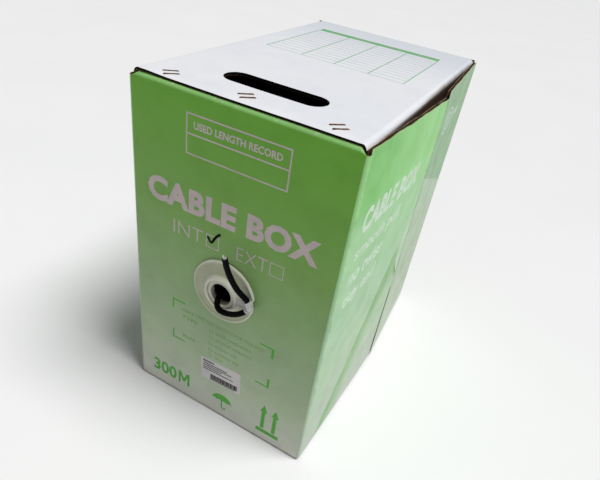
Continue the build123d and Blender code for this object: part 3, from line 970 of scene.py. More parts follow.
fold_low = (FRONT_LOW, LOW_FOLD, 0.9)
board("front_board", "carton", "printed_board_front", "front_panel", front_place,
      stations(-WALL_HALF, WALL_HALF, STEP_ALONG),
      stations(FRONT_LOW, FRONT_HIGH, STEP_ACROSS, [fold_low, (FRONT_FLAT, FRONT_HIGH, 0.7)]),
      "u", FRONT_PRINT, [circle(0.0, PAYOUT_Z, 16.6)], seed=11)
board("back_board", "carton", "printed_board_back", "back_panel", back_place,
      stations(-WALL_HALF, WALL_HALF, STEP_ALONG),
      stations(FRONT_LOW, BACK_HIGH, STEP_ACROSS, [fold_low, (BACK_FLAT, BACK_HIGH, 0.7)]),
      "u", BACK_PRINT, seed=12)
shoulder_bends = [(-TOP_REACH, -TOP_FLAT, 0.8), (TOP_FLAT, TOP_REACH, 0.8)]
board("top_board", "carton", "white_board", "top_panel", top_place,
      stations(-TOP_REACH, TOP_REACH, STEP_ALONG, shoulder_bends),
      stations(TOP_FRONT, HALF_D - HIGH_FOLD, STEP_ACROSS, [(TOP_FRONT, CRUSH_BACK, 1.0)]),
      "u", WHITE_TOP, [oblong(1.0, -122.5, 97.0, 27.0)], ragged=0.22, seed=13,
      rims=(KRAFT_SHADED, KRAFT_SHADED))
board("bottom_board", "carton", "white_board", "bottom_panel", bottom_place,
      stations(-TOP_REACH, TOP_REACH, 2 * STEP_ALONG, shoulder_bends),
      stations(FRONT_FACE + LOW_FOLD, HALF_D - LOW_FOLD, 2 * STEP_ACROSS),
      "u", WHITE_TOP, seed=14, wash=0.0)
board("front_tab", "carton", "kraft_board", "joint_tab", tab_place,
      stations(-99.5, 99.5, 2 * STEP_ALONG),
      stations(FRONT_FACE + HIGH_FOLD + 0.2, FRONT_FACE + 36.0, 2 * STEP_ACROSS),
      "u", FRONT_PRINT, seed=15, wash=0.0)
for side, word in ((1, "right"), (-1, "left")):
    for low, high, half in ((194.0, BOX_H - SHOULDER, "upper"), (SHOULDER, 170.0, "lower")):
        board(f"inner_{word}_{half}_board", "carton", "white_board",
              f"inner_flap_{word}_{half}", inner_flap_place(side),
              stations(-169.5, 169.5, 2 * STEP_ACROSS), stations(low, high, 2 * STEP_ALONG),
              "v", WHITE_SIDE, seed=30 + (side > 0) + 2 * (half == "upper"), wash=0.0)

# ---------------------------------------------------------------- outer flaps

FLAPS = {
    "right_front": (1, -1, 2.57, FRONT_FLAP, 1.05, RIGHT_PRINT, 0.3, 2.6, -2.2),
    "right_rear": (1, 1, 3.03, REAR_FLAP, 0.2, RIGHT_PRINT, 1.9, 4.0, 4.6),
    "left_front": (-1, -1, 1.2, FRONT_FLAP, 0.1, LEFT_PRINT, 2.4, -0.4, -2.6),
    "left_rear": (-1, 1, 1.41, REAR_FLAP, 0.0, LEFT_PRINT, 4.1, -0.4, -2.0),
}
STRIP_HIGH = {-1: 358.0, 1: 361.5}
for number, (word, facts) in enumerate(FLAPS.items()):
    side, end, opened, reach, tuck, face, seed, rise_crease, rise_free = facts
    place = flap_place(side, end, opened, reach, tuck, seed, rise_crease, rise_free)
    board(f"outer_{word}_board", f"{word}_flap", "printed_board_side",
          f"outer_flap_{word}", place,
          stations(CORNER_CUT, reach, STEP_ALONG),
          stations(FLAP_LOW, FLAP_HIGH, STEP_ACROSS),
          "u", face, ragged=0.3, seed=40 + number, rims=(KRAFT_RIM, FLUTE), recess=2.2)


def corner_strip(word):
    """The fold at a corner, which bends between the panel and its flap."""
    side, end, opened, reach, tuck, face = FLAPS[word][:6]
    corner = np.array([side * HALF_W, end * HALF_D])
    swing = math.radians(opened)
    inward = np.array([-side, 0.0])
    turn = math.pi / 2 - swing
    radius = CORNER_CUT / math.tan(turn / 2)
    start = corner + CORNER_CUT * inward
    centre = start + radius * np.array([0.0, -end])
    first = start - centre
    span = np.linspace(0, turn, 13)
    spin = side * -end
    heights = stations(FLAP_LOW + 0.4, STRIP_HIGH[end], 6.3)
    rng = np.random.default_rng(60 + len(word))
    points, faces, indices = [], [], []
    depths = (0.0, LINER, BOARD - LINER, BOARD)
    for angle in span:
        cosine, sine = math.cos(spin * angle), math.sin(spin * angle)
        outward = np.array([cosine * first[0] - sine * first[1],
                            sine * first[0] + cosine * first[1]]) / radius
        for depth in depths:
            at = centre + outward * (radius - min(depth, radius - 0.35))
            for row, height in enumerate(heights):
                torn = 0.0
                if row in (0, len(heights) - 1):
                    torn = (0.5 + 0.6 * rng.random()) * (1 if row == 0 else -1)
                points.append((at[0], at[1], height + torn))
    rows = len(heights)

    def index(step, depth, row):
        return (step * 4 + depth) * rows + row

    for step in range(len(span) - 1):
        for row in range(rows - 1):
            faces.append((index(step, 0, row), index(step + 1, 0, row), index(step + 1, 0, row + 1),
                          index(step, 0, row + 1)))
            indices.append(0)
            faces.append((index(step, 3, row), index(step, 3, row + 1), index(step + 1, 3, row + 1),
                          index(step + 1, 3, row)))
            indices.append(1)
        for depth in range(3):
            for row in (0, rows - 1):
                faces.append((index(step, depth, row), index(step + 1, depth, row),
                              index(step + 1, depth + 1, row), index(step, depth + 1, row)))
                indices.append(2)
    for step in (0, len(span) - 1):
        for depth in range(3):
            for row in range(rows - 1):
                faces.append((index(step, depth, row), index(step, depth, row + 1),
                              index(step, depth + 1, row + 1), index(step, depth + 1, row)))
                indices.append(1)
    obj = mesh_object(f"corner_fold_{word}", points, faces, (face, KRAFT, FLUTE), indices, 50.0,
                      tidy=True)
    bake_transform(obj)
    return obj


for word in FLAPS:
    corner_strip(word)

# ---------------------------------------------------------------- print
# Ink is a thin film of real geometry, drawn flat and then laid on its panel.


class Drawing:
    """Flat shapes in a panel's own (u, v), v upwards."""

    def __init__(self):
        self.bm = bmesh.new()

    def poly(self, points):
        self.bm.faces.new([self.bm.verts.new((u, v, 0.0)) for u, v in points])
        return self

    def rect(self, u0, v0, u1, v1):
        return self.poly([(u0, v0), (u1, v0), (u1, v1), (u0, v1)])

    def frame(self, u0, v0, u1, v1, line):
        self.rect(u0, v0, u1, v0 + line)
        self.rect(u0, v1 - line, u1, v1)
        self.rect(u0, v0 + line, u0 + line, v1 - line)
        return self.rect(u1 - line, v0 + line, u1, v1 - line)

    def stroke(self, points, width):
        """A drawn line with mitred corners."""
        line = [np.array(p, float) for p in points]
        left, right = [], []
        for index, at in enumerate(line):
            before = line[max(index - 1, 0)]
            after = line[min(index + 1, len(line) - 1)]
            run = (after - before) / np.linalg.norm(after - before)
            side = np.array([-run[1], run[0]]) * width / 2
            left.append(tuple(at + side))
            right.append(tuple(at - side))
        for a, b, c, d in zip(left, left[1:], right[1:], right):
            self.poly([d, c, b, a])
        return self

    def words(self, text, u0, v0, u1, v1, bold=0.0, slant=0.0, spacing=1.0):
        """Words in Blender's own plain letters, filling a box."""
        data = bpy.data.curves.new("words", "FONT")
        data.body = text
        data.size = 1.0
        data.offset = bold
        data.shear = slant
        data.space_character = spacing
        data.resolution_u = 3
        holder = link(bpy.data.objects.new("words", data))
        mesh = evaluated_mesh(holder)
        points = np.array([v.co for v in mesh.vertices])[:, :2]
        low, high = points.min(0), points.max(0)
        scale = np.array([u1 - u0, v1 - v0]) / (high - low)
        placed = (points - low) * scale + np.array([u0, v0])
        made = [self.bm.verts.new((u, v, 0.0)) for u, v in placed]
        for polygon in mesh.polygons:
            self.bm.faces.new([made[i] for i in polygon.vertices])
        bpy.data.objects.remove(holder)
        bpy.data.meshes.remove(mesh)
        return self


def lay_film(bm, cut_us, cut_vs, place, depth_of, lift, root, name, material):
    """Turns a flat drawing into a closed film on a surface."""
    bmesh.ops.remove_doubles(bm, verts=bm.verts, dist=1e-4)
    bmesh.ops.triangulate(bm, faces=bm.faces)
    spread = np.array([v.co for v in bm.verts])
    low, high = spread.min(0), spread.max(0)
    for axis, cuts in ((0, cut_us), (1, cut_vs)):
        direction = Vector((1, 0, 0)) if axis == 0 else Vector((0, 1, 0))
        for value in cuts:
            if low[axis] < value < high[axis]:
                bmesh.ops.bisect_plane(bm, geom=[*bm.verts, *bm.edges, *bm.faces], dist=1e-4,
                                       plane_co=direction * float(value), plane_no=direction)
    bm.normal_update()
    turned = [f for f in bm.faces if f.normal.z < 0]
    if turned:
        bmesh.ops.reverse_faces(bm, faces=turned)
    bm.verts.index_update()
    flat = np.array([v.co for v in bm.verts])
    count = len(flat)
    u, v = flat[:, 0], flat[:, 1]
    surface = depth_of(u, v)
    points = np.concatenate([place(u, v, surface - lift), place(u, v, surface + root)])
    faces = [[x.index for x in f.verts] for f in bm.faces]
    faces += [[i + count for i in reversed(f)] for f in faces]
    for edge in bm.edges:
        if len(edge.link_faces) == 1:
            loop = edge.link_loops[0]
            a, b = loop.vert.index, loop.link_loop_next.vert.index
            faces.append([b, a, a + count, b + count])
    bm.free()
    return mesh_object(name, points, faces, (material,), angle=35.0, tidy=True)


def ink(name, surface, drawing, material, lift=INK_LIFT, slot="printed_board_front"):
    body, place, us, vs, across, wash = SURFACES[surface]

    def depth_of(u, v):
        return wash * wave_height(v if across else u)

    obj = lay_film(drawing.bm, us[1:-1], vs[1:-1], place, depth_of, lift, INK_ROOT, name, material)
    return settle(obj, body, slot)


def front_prints(surface, flip, slot):
    """The front's print, which the back has too, in mm from the left edge and the top."""

    def at(x):
        return x - HALF_W

    def up(y):
        return BOX_H - y

    def mirrored(drawing):
        if flip:
            for vert in drawing.bm.verts:
                vert.co.x = -vert.co.x
        return drawing

    def put(name, drawing, material):
        ink(f"{name}_{surface}", surface, mirrored(drawing), material, slot=slot)

    left, right, middle, line = at(59.5), at(157.5), up(38.7), 1.3
    box = Drawing().frame(left, up(57), right, up(21), line)
    box.rect(left + line, middle - line / 2, right - line, middle + line / 2)
    box.words("USED LENGTH RECORD", at(67), up(33.8), at(150), up(27.2), 0.028)
    box.words("CABLE BOX", at(18), up(114), at(194), up(89), 0.045, spacing=1.05)
    for text, first, last, tick_at in (("INT", 47, 80, 84), ("EXT", 117, 149, 151)):
        box.words(text, at(first), up(141), at(last), up(127), -0.016)
        box.frame(at(tick_at), up(141), at(tick_at + 14), up(127), 0.85)
    put("print_white", box, INK_WHITE)

    marks = Drawing()
    # corner brackets: the corner, the way each arm runs and the upright's width
    for x, y, way, down, wide in ((46, 223, 1, 1, 1.7), (168, 224, -1, 1, 2.7),
                                  (46.5, 278, 1, -1, 1.7), (168, 279.5, -1, -1, 2.7)):
        u, v = at(x), up(y)
        inner, end = v - down * 1.6, v - down * 13
        marks.rect(min(u, u + way * 16), min(v, inner), max(u, u + way * 16), max(v, inner))
        marks.rect(min(u, u + way * wide), min(inner, end), max(u, u + way * wide), max(inner, end))
    marks.words("300", at(19), up(346), at(52), up(327), 0.025)
    u, v = at(54.5), up(346)
    letter_m = [(0, 0), (0, 19), (3.7, 19), (7.75, 9.5), (11.8, 19), (15.5, 19), (15.5, 0),
                (12.5, 0), (12.5, 12.4), (9.2, 4.4), (6.3, 4.4), (3.0, 12.4), (3.0, 0)]
    marks.poly([(u + x, v + y) for x, y in letter_m])
    for x in (167, 181):
        u = at(x)
        marks.poly([(u - 4.5, up(318)), (u + 4.5, up(318)), (u, up(307))])
        marks.rect(u - 2.15, up(344), u + 2.15, up(318))
    marks.rect(at(160), up(351), at(188), up(345.6))
    # an umbrella: keep dry
    u, v = at(114.5), up(339)
    half, tall, dip, steps = 13, 10.5, 1.6, 16
    brim = [(u - half + 2 * half * k / steps,
             v + math.sqrt(max(0.0, 1 - (2 * k / steps - 1) ** 2)) * tall)
            for k in range(steps + 1)]
    scallop = [(u + half - 2 * half * k / steps, v + dip * abs(math.sin(math.pi * k / 4)))
               for k in range(1, steps)]
    marks.poly(brim + scallop)
    handle = ((0.0, 1.2), (0.0, -8.0), (0.8, -10.4), (2.6, -11.3), (4.4, -10.4), (5.0, -8.6))
    marks.stroke([(u + x, v + y) for x, y in handle], 1.7)
    put("print_green", marks, INK_GREEN)

    rows = Drawing()
    for text, first, low, last, high in (("CABLE TYPE AND LENGTH FOR THIS BOX", 58, 234.6, 157, 230.4),
                                         ("TYPE", 58, 244.0, 78, 239.6), ("RUN", 60, 270.8, 75, 266.2)):
        rows.words(text, at(first), up(low), at(last), up(high), 0.004)
    for y, text, end in ((242, "solid conductors", 143), (251, "stranded conductors", 145),
                         (260, "indoor use", 128), (269, "outdoor use", 131), (276.6, "other", 112)):
        rows.frame(at(93), up(y + 2.6), at(97.6), up(y - 2.0), 0.5)
        rows.words(text, at(101), up(y + 2.4), at(end), up(y - 2.2), 0.002)
    put("print_rows", rows, INK_FAINT)


front_prints("front_board", False, "printed_board_front")
front_prints("back_board", True, "printed_board_back")

# the tick drawn by hand in the first check box
tick = Drawing().stroke([(-22.6, 233.8), (-21.0, 233.2), (-19.4, 230.2), (-17.9, 229.2), (-16.6, 230.4),
                         (-13.6, 236.0), (-11.0, 239.6), (-8.4, 241.8)], 2.5)
ink("pen_tick", "front_board", tick, PEN_BLACK, 0.16)

# the table on the top panel
COLUMNS = (30.5, 71.0, 108.0, 144.5, 181.5)
HEADS = ("DATE", "LENGTH USED", "LENGTH LEFT", "USED BY")
ROW_HEIGHT = 10.3
columns = [x - HALF_W for x in COLUMNS]
foot, header, head_top = (behind - HALF_D for behind in (166.0, 290.0, 301.0))


def top_ink(name, drawing, material, lift=INK_LIFT):
    ink(name, "top_board", drawing, material, lift, slot="white_board")


table = Drawing()
for v in (*[header - ROW_HEIGHT * k for k in range(1, 12)], foot):
    table.rect(columns[0], v - 0.42, columns[-1], v + 0.42)
top_ink("print_table", table, INK_TABLE)
rules = Drawing()
for u in columns:
    rules.rect(u - 0.55, foot, u + 0.55, header)
top_ink("print_table_rules", rules, INK_TABLE_RULE, INK_LIFT * 1.6)
bar, heads = Drawing(), Drawing()
for left, right, text in zip(columns, columns[1:], HEADS):
    bar.rect(left, header, right, head_top)
    middle, half = (left + right) / 2, 0.95 * len(text) + 2.0
    heads.words(text, middle - half, header + 3.6, middle + half, header + 7.4, 0.01)
top_ink("print_table_header", bar, INK_TABLE_GREEN)
top_ink("print_table_words", heads, INK_WHITE, INK_LIFT * 2.2)


def side_prints(word, flip):
    """A side's print: large words on its front flap, a plain coil sign on its rear flap."""
    front = f"outer_{word}_front_board"
    rear = f"outer_{word}_rear_board"

    def placed(drawing, surface):
        reach = 2 * HALF_D if surface == rear else 0.0
        for vert in drawing.bm.verts:
            back = 2 * HALF_D - vert.co.x if flip else vert.co.x
            vert.co.x = reach - back if surface == rear else back
        return drawing

    def up(y):
        return BOX_H - y

    shift = 174.0 if flip else 0.0
    big = Drawing().words("CABLE BOX", 22 + shift, up(84), 152 + shift, up(60), 0.045, 0.12, 1.05)
    for text, low, end, high in (("smooth pull", 113, 122, 95), ("no twist", 136, 92, 120),
                                 ("tidy end", 166, 90, 146)):
        big.words(text, 20 + shift, up(low), end + shift, up(high), 0.02, 0.2)
    ink(f"print_words_{word}", front, placed(big, front), INK_WHITE_SIDE, slot="printed_board_side")
    sign = Drawing()
    u, v = (84.0 if flip else 230.0), up(45)
    for radius, width in ((19.0, 3.2), (12.5, 3.0), (6.0, 2.6)):
        turns = np.linspace(0, 2 * math.pi, 41)
        for a, b in zip(turns, turns[1:]):
            corners = ((radius, a), (radius, b), (radius - width, b), (radius - width, a))
            sign.poly([(u + r * math.cos(t) * 1.15, v + r * math.sin(t) * 0.75) for r, t in corners])
    sign.rect(u + 24, v - 2, u + 48, v + 2)
    sign.poly([(u + 48, v - 6), (u + 60, v), (u + 48, v + 6)])
    ink(f"print_sign_{word}", rear, placed(sign, rear), INK_SOFT_SIDE, slot="printed_board_side")


side_prints("right", False)
side_prints("left", True)

# ---------------------------------------------------------------- payout fitting


def lathe(name, profile, material, segments=128, cutters=(), angle=38.0):
    """A closed turned piece about the payout axis, from (radius, distance out) points."""
    points = []
    for k in range(segments):
        a = 2 * math.pi * k / segments
        for radius, out in profile:
            points.append((radius * math.cos(a), FRONT_FACE - out, PAYOUT_Z + radius * math.sin(a)))
    faces = torus_faces(segments, len(profile)).tolist()
    obj = mesh_object(name, points, faces, (material,), angle=angle, tidy=True)
    for cutter in cutters:
        shade(carve(obj, cutter), angle)
    return obj


def rounded(profile, radius, steps=4):
    """The profile with its corners rounded off."""
    result = []
    count = len(profile)
    for i in range(count):
        before, at, after = (np.array(profile[j % count], float) for j in (i - 1, i, i + 1))
        into, out = at - before, after - at
        reach = min(radius, 0.45 * np.linalg.norm(into), 0.45 * np.linalg.norm(out))
        first = at - into / np.linalg.norm(into) * reach
        last = at + out / np.linalg.norm(out) * reach
        for t in np.linspace(0, 1, steps + 1):
            result.append(tuple((1 - t) ** 2 * first + 2 * t * (1 - t) * at + t**2 * last))
    return result


def prism_piece(name, outline, near, far):
    """A solid across the payout axis, from an outline in (x, z) about that axis."""
    points = [(x, FRONT_FACE - out, PAYOUT_Z + z) for out in (near, far) for x, z in outline]
    return mesh_object(name, points, prism_faces(len(outline)), (), tidy=True)


notch_outline = [(27.4, -1.9), (27.0, -1.5), (27.0, 2.0), (27.0, 5.5), (27.4, 6.1), (28.2, 6.5),
                 (44.0, 6.8), (44.0, -2.8), (28.2, -2.5)]
flange_profile = rounded([
    (13.9, -13.0), (16.0, -13.0), (16.0, 0.3), (34.0, 0.3), (34.0, 2.2), (33.0, 3.0),
    (31.4, 3.0), (30.2, 2.6), (25.0, 2.7), (21.4, 3.3), (19.7, 4.4), (18.7, 6.2),
    (18.1, 7.3), (17.2, 7.9), (15.7, 7.7), (15.4, 7.3), (15.4, 3.4), (13.9, 3.4),
], 0.55)
flange = lathe("flange_moulded", flange_profile, PLASTIC,
               cutters=[prism_piece("notch", notch_outline, -0.4, 9.0)])
settle(flange, "payout", "white_plastic", "payout_flange")

tube_profile = rounded([
    (11.0, -82.0), (13.6, -82.0), (13.6, 3.4), (15.2, 3.4), (15.2, 5.7), (14.8, 6.0),
    (12.5, 6.0), (12.2, 6.3), (11.9, 6.5), (11.5, 6.35), (11.25, 5.8),
], 0.3, 3)
tube = lathe("payout_tube_moulded", tube_profile, PLASTIC_TUBE, 96)
settle(tube, "payout", "white_plastic", "payout_tube")

# raised marks round the lip: pointers and short bars, meaning nothing
LIP_MARK_R = 13.9
LIP_MARK_LOW, LIP_MARK_HIGH, LIP_MARK_TAPER = 5.9, 6.28, 0.1
POINTER = [(-1.2, -0.7), (1.2, -0.7), (0.0, 0.9)]
LONG_BAR = [(-0.5, -0.8), (0.5, -0.8), (0.5, 0.8), (-0.5, 0.8)]
SHORT_BAR = [(-0.22, -0.4), (0.22, -0.4), (0.22, 0.4), (-0.22, 0.4)]
mark_points, mark_faces = [], []
for k in range(36):
    a = 2 * math.pi * k / 36
    outline = POINTER if k % 12 == 0 else LONG_BAR if k % 3 == 0 else SHORT_BAR
    start, count = len(mark_points), len(outline)
    mark_faces.append([start + i for i in range(count)])
    mark_faces.append([start + count + i for i in reversed(range(count))])
    for i in range(count):
        j = (i + 1) % count
        mark_faces.append([start + i, start + i + count, start + j + count, start + j])
    for out, inset in ((LIP_MARK_LOW, 0.0), (LIP_MARK_HIGH, LIP_MARK_TAPER)):
        for t, r in outline:
            radius = LIP_MARK_R + r * (1 - inset)
            turn = a + t * (1 - inset) / LIP_MARK_R
            mark_points.append((radius * math.cos(turn), FRONT_FACE - out,
                                PAYOUT_Z + radius * math.sin(turn)))
lip_marks = mesh_object("lip_marks", mark_points, mark_faces, (PLASTIC_TUBE,), tidy=True)
settle(lip_marks, "payout", "white_plastic")

# lock ring behind the board: a round nut with twelve grips, from (out, radius or scale)
RING_R, RING_GRIP, RING_GRIPS, RING_STEPS = 24.2, 0.65, 12, 144
RING_RIM = ((-3.3, 0.985), (-3.7, 1.0), (-7.1, 1.0), (-7.5, 0.985))
RING_BORE = ((-7.5, 16.3), (-7.3, 16.08), (-3.5, 16.08), (-3.3, 16.3))
ring_points = []
for k in range(RING_STEPS):
    a = 2 * math.pi * k / RING_STEPS
    rim = RING_R + RING_GRIP * math.cos(RING_GRIPS * a)
    for out, radius in [(out, rim * grow) for out, grow in RING_RIM] + list(RING_BORE):
        ring_points.append((radius * math.cos(a), FRONT_FACE - out, PAYOUT_Z + radius * math.sin(a)))
ring_faces = torus_faces(RING_STEPS, len(RING_RIM) + len(RING_BORE)).tolist()
ring = mesh_object("lock_ring_moulded", ring_points, ring_faces, (PLASTIC,), tidy=True)
settle(ring, "payout", "white_plastic", "lock_ring")

# ---------------------------------------------------------------- cable end
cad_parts["cable_lead"].material_slots[0].material = JACKET


def sweep(line, rings):
    """Closed tube from centres and, at each, a ring of offsets."""
    points, faces = [], []
    count = len(rings[0])
    for centre, ring in zip(line, rings):
        for offset in ring:
            points.append(centre + offset)
    for k in range(len(line) - 1):
        for i in range(count):
            j = (i + 1) % count
            faces.append((k * count + i, k * count + j, (k + 1) * count + j, (k + 1) * count + i))
    faces.append(tuple(range(count))[::-1])
    faces.append(tuple((len(line) - 1) * count + i for i in range(count)))
    return points, faces


def round_cord(name, line, radius, sides=28):
    """A round jacket that follows a smooth line, its axes carried along without twisting."""
    ways = np.gradient(line, axis=0)
    ways /= np.linalg.norm(ways, axis=1)[:, None]
    side = np.cross(ways[0], (0.0, 0.0, 1.0))
    rings = []
    for way in ways:
        side = side - side.dot(way) * way
        side /= np.linalg.norm(side)
        rise = np.cross(way, side)
        rings.append([radius * (math.cos(a) * side + math.sin(a) * rise)
                      for a in round_angles(sides)])
    points, faces = sweep(list(line), rings)
    return mesh_object(name, points, faces, (JACKET,), tidy=True)


tail = round_cord("cable_tail_smooth", tail_line, CABLE_R)
settle(tail, "cable_end", "cable_jacket", "cable_tail")

tail_end = tail_line[-1]
tail_way = tail_line[-1] - tail_line[-2]
tail_way = tail_way / np.linalg.norm(tail_way)
tail_side = np.cross(tail_way, (0.0, 1.0, 0.0))
tail_side /= np.linalg.norm(tail_side)
tail_rise = np.cross(tail_side, tail_way)


# eight conductors: white sleeves with bright tips, cut at uneven lengths
wire_points, wire_faces, wire_slots = [], [], []
reaches = (3.2, 1.5, 2.4, 0.9)
splay = (0.25, -0.15, 0.1, 0.2)
for pair in range(4):
    for twin in (-1, 1):
        base = math.radians(90 * pair)
        for part, (radius, begin, finish) in enumerate(((0.47, -0.6, reaches[pair] * 0.72),
                                                        (0.27, reaches[pair] * 0.6, reaches[pair]))):
            line, rings = [], []
            for t in np.linspace(0, 1, 5):
                run = begin + (finish - begin) * t
                twist = base + 0.16 * run
                outward = math.cos(twist) * tail_side + math.sin(twist) * tail_rise
                aside = -math.sin(twist) * tail_side + math.cos(twist) * tail_rise
                centre = (1.25 + splay[pair] * run / 3) * outward + twin * 0.5 * aside
                line.append(tail_end + centre + run * tail_way)
                shrink = 0.82 if t in (0.0, 1.0) else 1.0
                rings.append([radius * shrink * (math.cos(a) * tail_side + math.sin(a) * tail_rise)
                              for a in round_angles(10)])
            points, faces = sweep(line, rings)
            wire_faces += [tuple(i + len(wire_points) for i in f) for f in faces]
            wire_slots += [part] * len(faces)
            wire_points += points
INSULATION = ink_paint("conductor_sleeve", (0.78, 0.78, 0.76), 0.35)
wires = mesh_object("conductor_tips", wire_points, wire_faces, (INSULATION, WIRE_METAL), wire_slots,
                    tidy=True)
settle(wires, "cable_end", "conductor_metal", "conductor_ends")

# crumpled film wound round the bend, with two loose tails
WRAP_AT = np.array([30.6, FRONT_FACE - 7.0, PAYOUT_Z + 2.2])
knot = min(range(len(tail_line)), key=lambda i: np.linalg.norm(tail_line[i] - WRAP_AT))
arc = np.concatenate([[0.0], np.cumsum(np.linalg.norm(np.diff(tail_line, axis=0), axis=1))])
wrap_line, wrap_rings = [], []
WRAP_ROWS, WRAP_ROUND = 27, 56
for row in range(WRAP_ROWS):
    share = row / (WRAP_ROWS - 1)
    reach = arc[knot] - 6.4 + 12.8 * share
    centre = np.array([np.interp(reach, arc, tail_line[:, axis]) for axis in range(3)])
    ahead = np.array([np.interp(reach + 0.4, arc, tail_line[:, axis]) for axis in range(3)])
    way = (ahead - centre) / np.linalg.norm(ahead - centre)
    across = np.cross(way, (0.0, 1.0, 0.0))
    across /= np.linalg.norm(across)
    rise = np.cross(across, way)
    bulge = 1.15 * (0.45 + 0.55 * math.sin(math.pi * share))
    swell = CABLE_R + 0.12 + bulge + 0.35 * math.sin(share * 19.0)
    ring = []
    for k in range(WRAP_ROUND):
        a = 2 * math.pi * k / WRAP_ROUND
        direction = math.cos(a) * across + math.sin(a) * rise
        probe = Vector((centre + direction * 3.0) * 0.42)
        crumple = (0.95 * noise.noise(probe) + 0.45 * noise.noise(probe * 2.7)
                   + 0.2 * noise.noise(probe * 6.1))
        size = max(CABLE_R + 0.08, swell + crumple)
        at = centre + direction * size
        limit = FRONT_FACE - 0.75
        if at[1] > limit:
            at[1] = limit
        ring.append(at - centre)
    wrap_line.append(centre)
    wrap_rings.append(ring)
points, faces = sweep(wrap_line, wrap_rings)


def film_tail(root, way, turn, length, width, seed):
    """A loose crumpled strip of the film."""
    way = np.array(way, float) / np.linalg.norm(way)
    turn = np.array(turn, float)
    side = np.cross(way, turn)
    side /= np.linalg.norm(side)
    up = np.cross(side, way)
    strip_points, strip_faces = [], []
    steps, breadth = 12, 7
    for level in (0.0, 0.14):
        for i in range(steps):
            run = length * i / (steps - 1)
            for j in range(breadth):
                off = width * (j / (breadth - 1) - 0.5) * (1 - 0.35 * i / steps)
                fold = 0.9 * noise.noise(Vector((run * 0.55, off * 0.6, seed)))
                fold += 0.5 * noise.noise(Vector((run * 1.3, off * 1.4, seed + 3)))
                rise = fold + level + 0.05 * run**1.4
                strip_points.append(np.array(root) + way * run + side * off + up * rise)
    for i in range(steps - 1):
        for j in range(breadth - 1):
            a, b = i * breadth + j, (i + 1) * breadth + j
            strip_faces.append((a, b, b + 1, a + 1))
            top = steps * breadth
            strip_faces.append((a + top, a + 1 + top, b + 1 + top, b + top))
    border = [i * breadth for i in range(steps)]
    border += [(steps - 1) * breadth + j for j in range(1, breadth)]
    border += [i * breadth + breadth - 1 for i in range(steps - 2, -1, -1)]
    border += list(range(breadth - 2, 0, -1))
    for a, b in zip(border, border[1:] + border[:1]):
        strip_faces.append((b, a, a + steps * breadth, b + steps * breadth))
    return strip_points, strip_faces


for strip in (
    film_tail((28.6, FRONT_FACE - 7.6, PAYOUT_Z + 5.0), (-0.80, -0.10, 0.75), (0.2, -1.0, 0.1),
              8.0, 6.0, 1.0),
    film_tail((28.4, FRONT_FACE - 6.4, PAYOUT_Z + 0.6), (-1.0, 0.12, 0.10), (0.1, -1.0, 0.1),
              9.5, 7.0, 4.0),
    film_tail((32.4, FRONT_FACE - 8.4, PAYOUT_Z + 0.6), (0.25, -0.20, -0.9), (0.3, -1.0, -0.2),
              4.0, 4.0, 7.0),
):
    faces += [tuple(i + len(points) for i in f) for f in strip[1]]
    points += strip[0]
film = mesh_object("tie_film_wrap", points, faces, (FILM,), angle=28.0, tidy=True)
settle(film, "cable_end", "tie_tape", "cable_tie")

# ---------------------------------------------------------------- staples

STAPLE_SPOTS = ((-75.0, 14.0), (-4.0, 17.0), (75.5, 16.0))
STAPLE_WIDE, STAPLE_THICK, STAPLE_GAP = 2.1, 0.54, 4.0
# half of the bent flat wire, (along, height): clinched end, leg and crown
HALF_BEND = [(-2.2, 357.62), (-3.4, 357.62), (-5.6, 357.66), (-6.35, 357.95), (-6.5, 358.6),
             (-6.5, 362.9), (-6.42, 363.75), (-5.9, 364.22), (-4.6, 364.28), (-2.2, 364.2)]
STAPLE_BEND = [*HALF_BEND, (0.0, 364.14), *[(-run, height) for run, height in reversed(HALF_BEND)]]
staple_points, staple_faces = [], []
turn = math.radians(44.0)
lay_way = np.array([math.cos(turn), math.sin(turn), 0.0])
lay_side = np.array([-math.sin(turn), math.cos(turn), 0.0])
for spot, (spot_x, behind) in enumerate(STAPLE_SPOTS):
    for twin in (-1, 1):
        centre = np.array([spot_x + twin * STAPLE_GAP * math.sin(turn),
                           FRONT_FACE + behind - twin * STAPLE_GAP * math.cos(turn), 0.0])
        skew = 0.03 * math.sin(5 * spot + 2 * twin)
        rings, line = [], []
        for i, (run, height) in enumerate(STAPLE_BEND):
            before = np.array(STAPLE_BEND[max(i - 1, 0)])
            after = np.array(STAPLE_BEND[min(i + 1, len(STAPLE_BEND) - 1)])
            way = (after - before) / np.linalg.norm(after - before)
            out = np.array([-way[1], way[0]])
            out3 = lay_way * out[0] + np.array([0.0, 0.0, out[1]])
            ring = []
            for a in round_angles(12):
                c, s = math.cos(a), math.sin(a)
                ring.append(lay_side * STAPLE_WIDE / 2 * math.copysign(abs(c) ** 0.55, c)
                            + out3 * STAPLE_THICK / 2 * math.copysign(abs(s) ** 0.55, s))
            rings.append(ring)
            line.append(centre + lay_way * run + lay_side * skew * run + np.array([0.0, 0.0, height]))
        points, faces = sweep(line, rings)
        staple_faces += [tuple(i + len(staple_points) for i in f) for f in faces]
        staple_points += points
staples = mesh_object("staple_wires", staple_points, staple_faces, (COPPER,), tidy=True)
settle(staples, "carton", "staple_wire", "joint_staples")

# ---------------------------------------------------------------- label

LABEL_X, LABEL_Z = 3.0, 65.5
LABEL_W, LABEL_H = 50.5, 31.5
LABEL_TILT = math.radians(3.0)
LABEL_THICK = 0.14


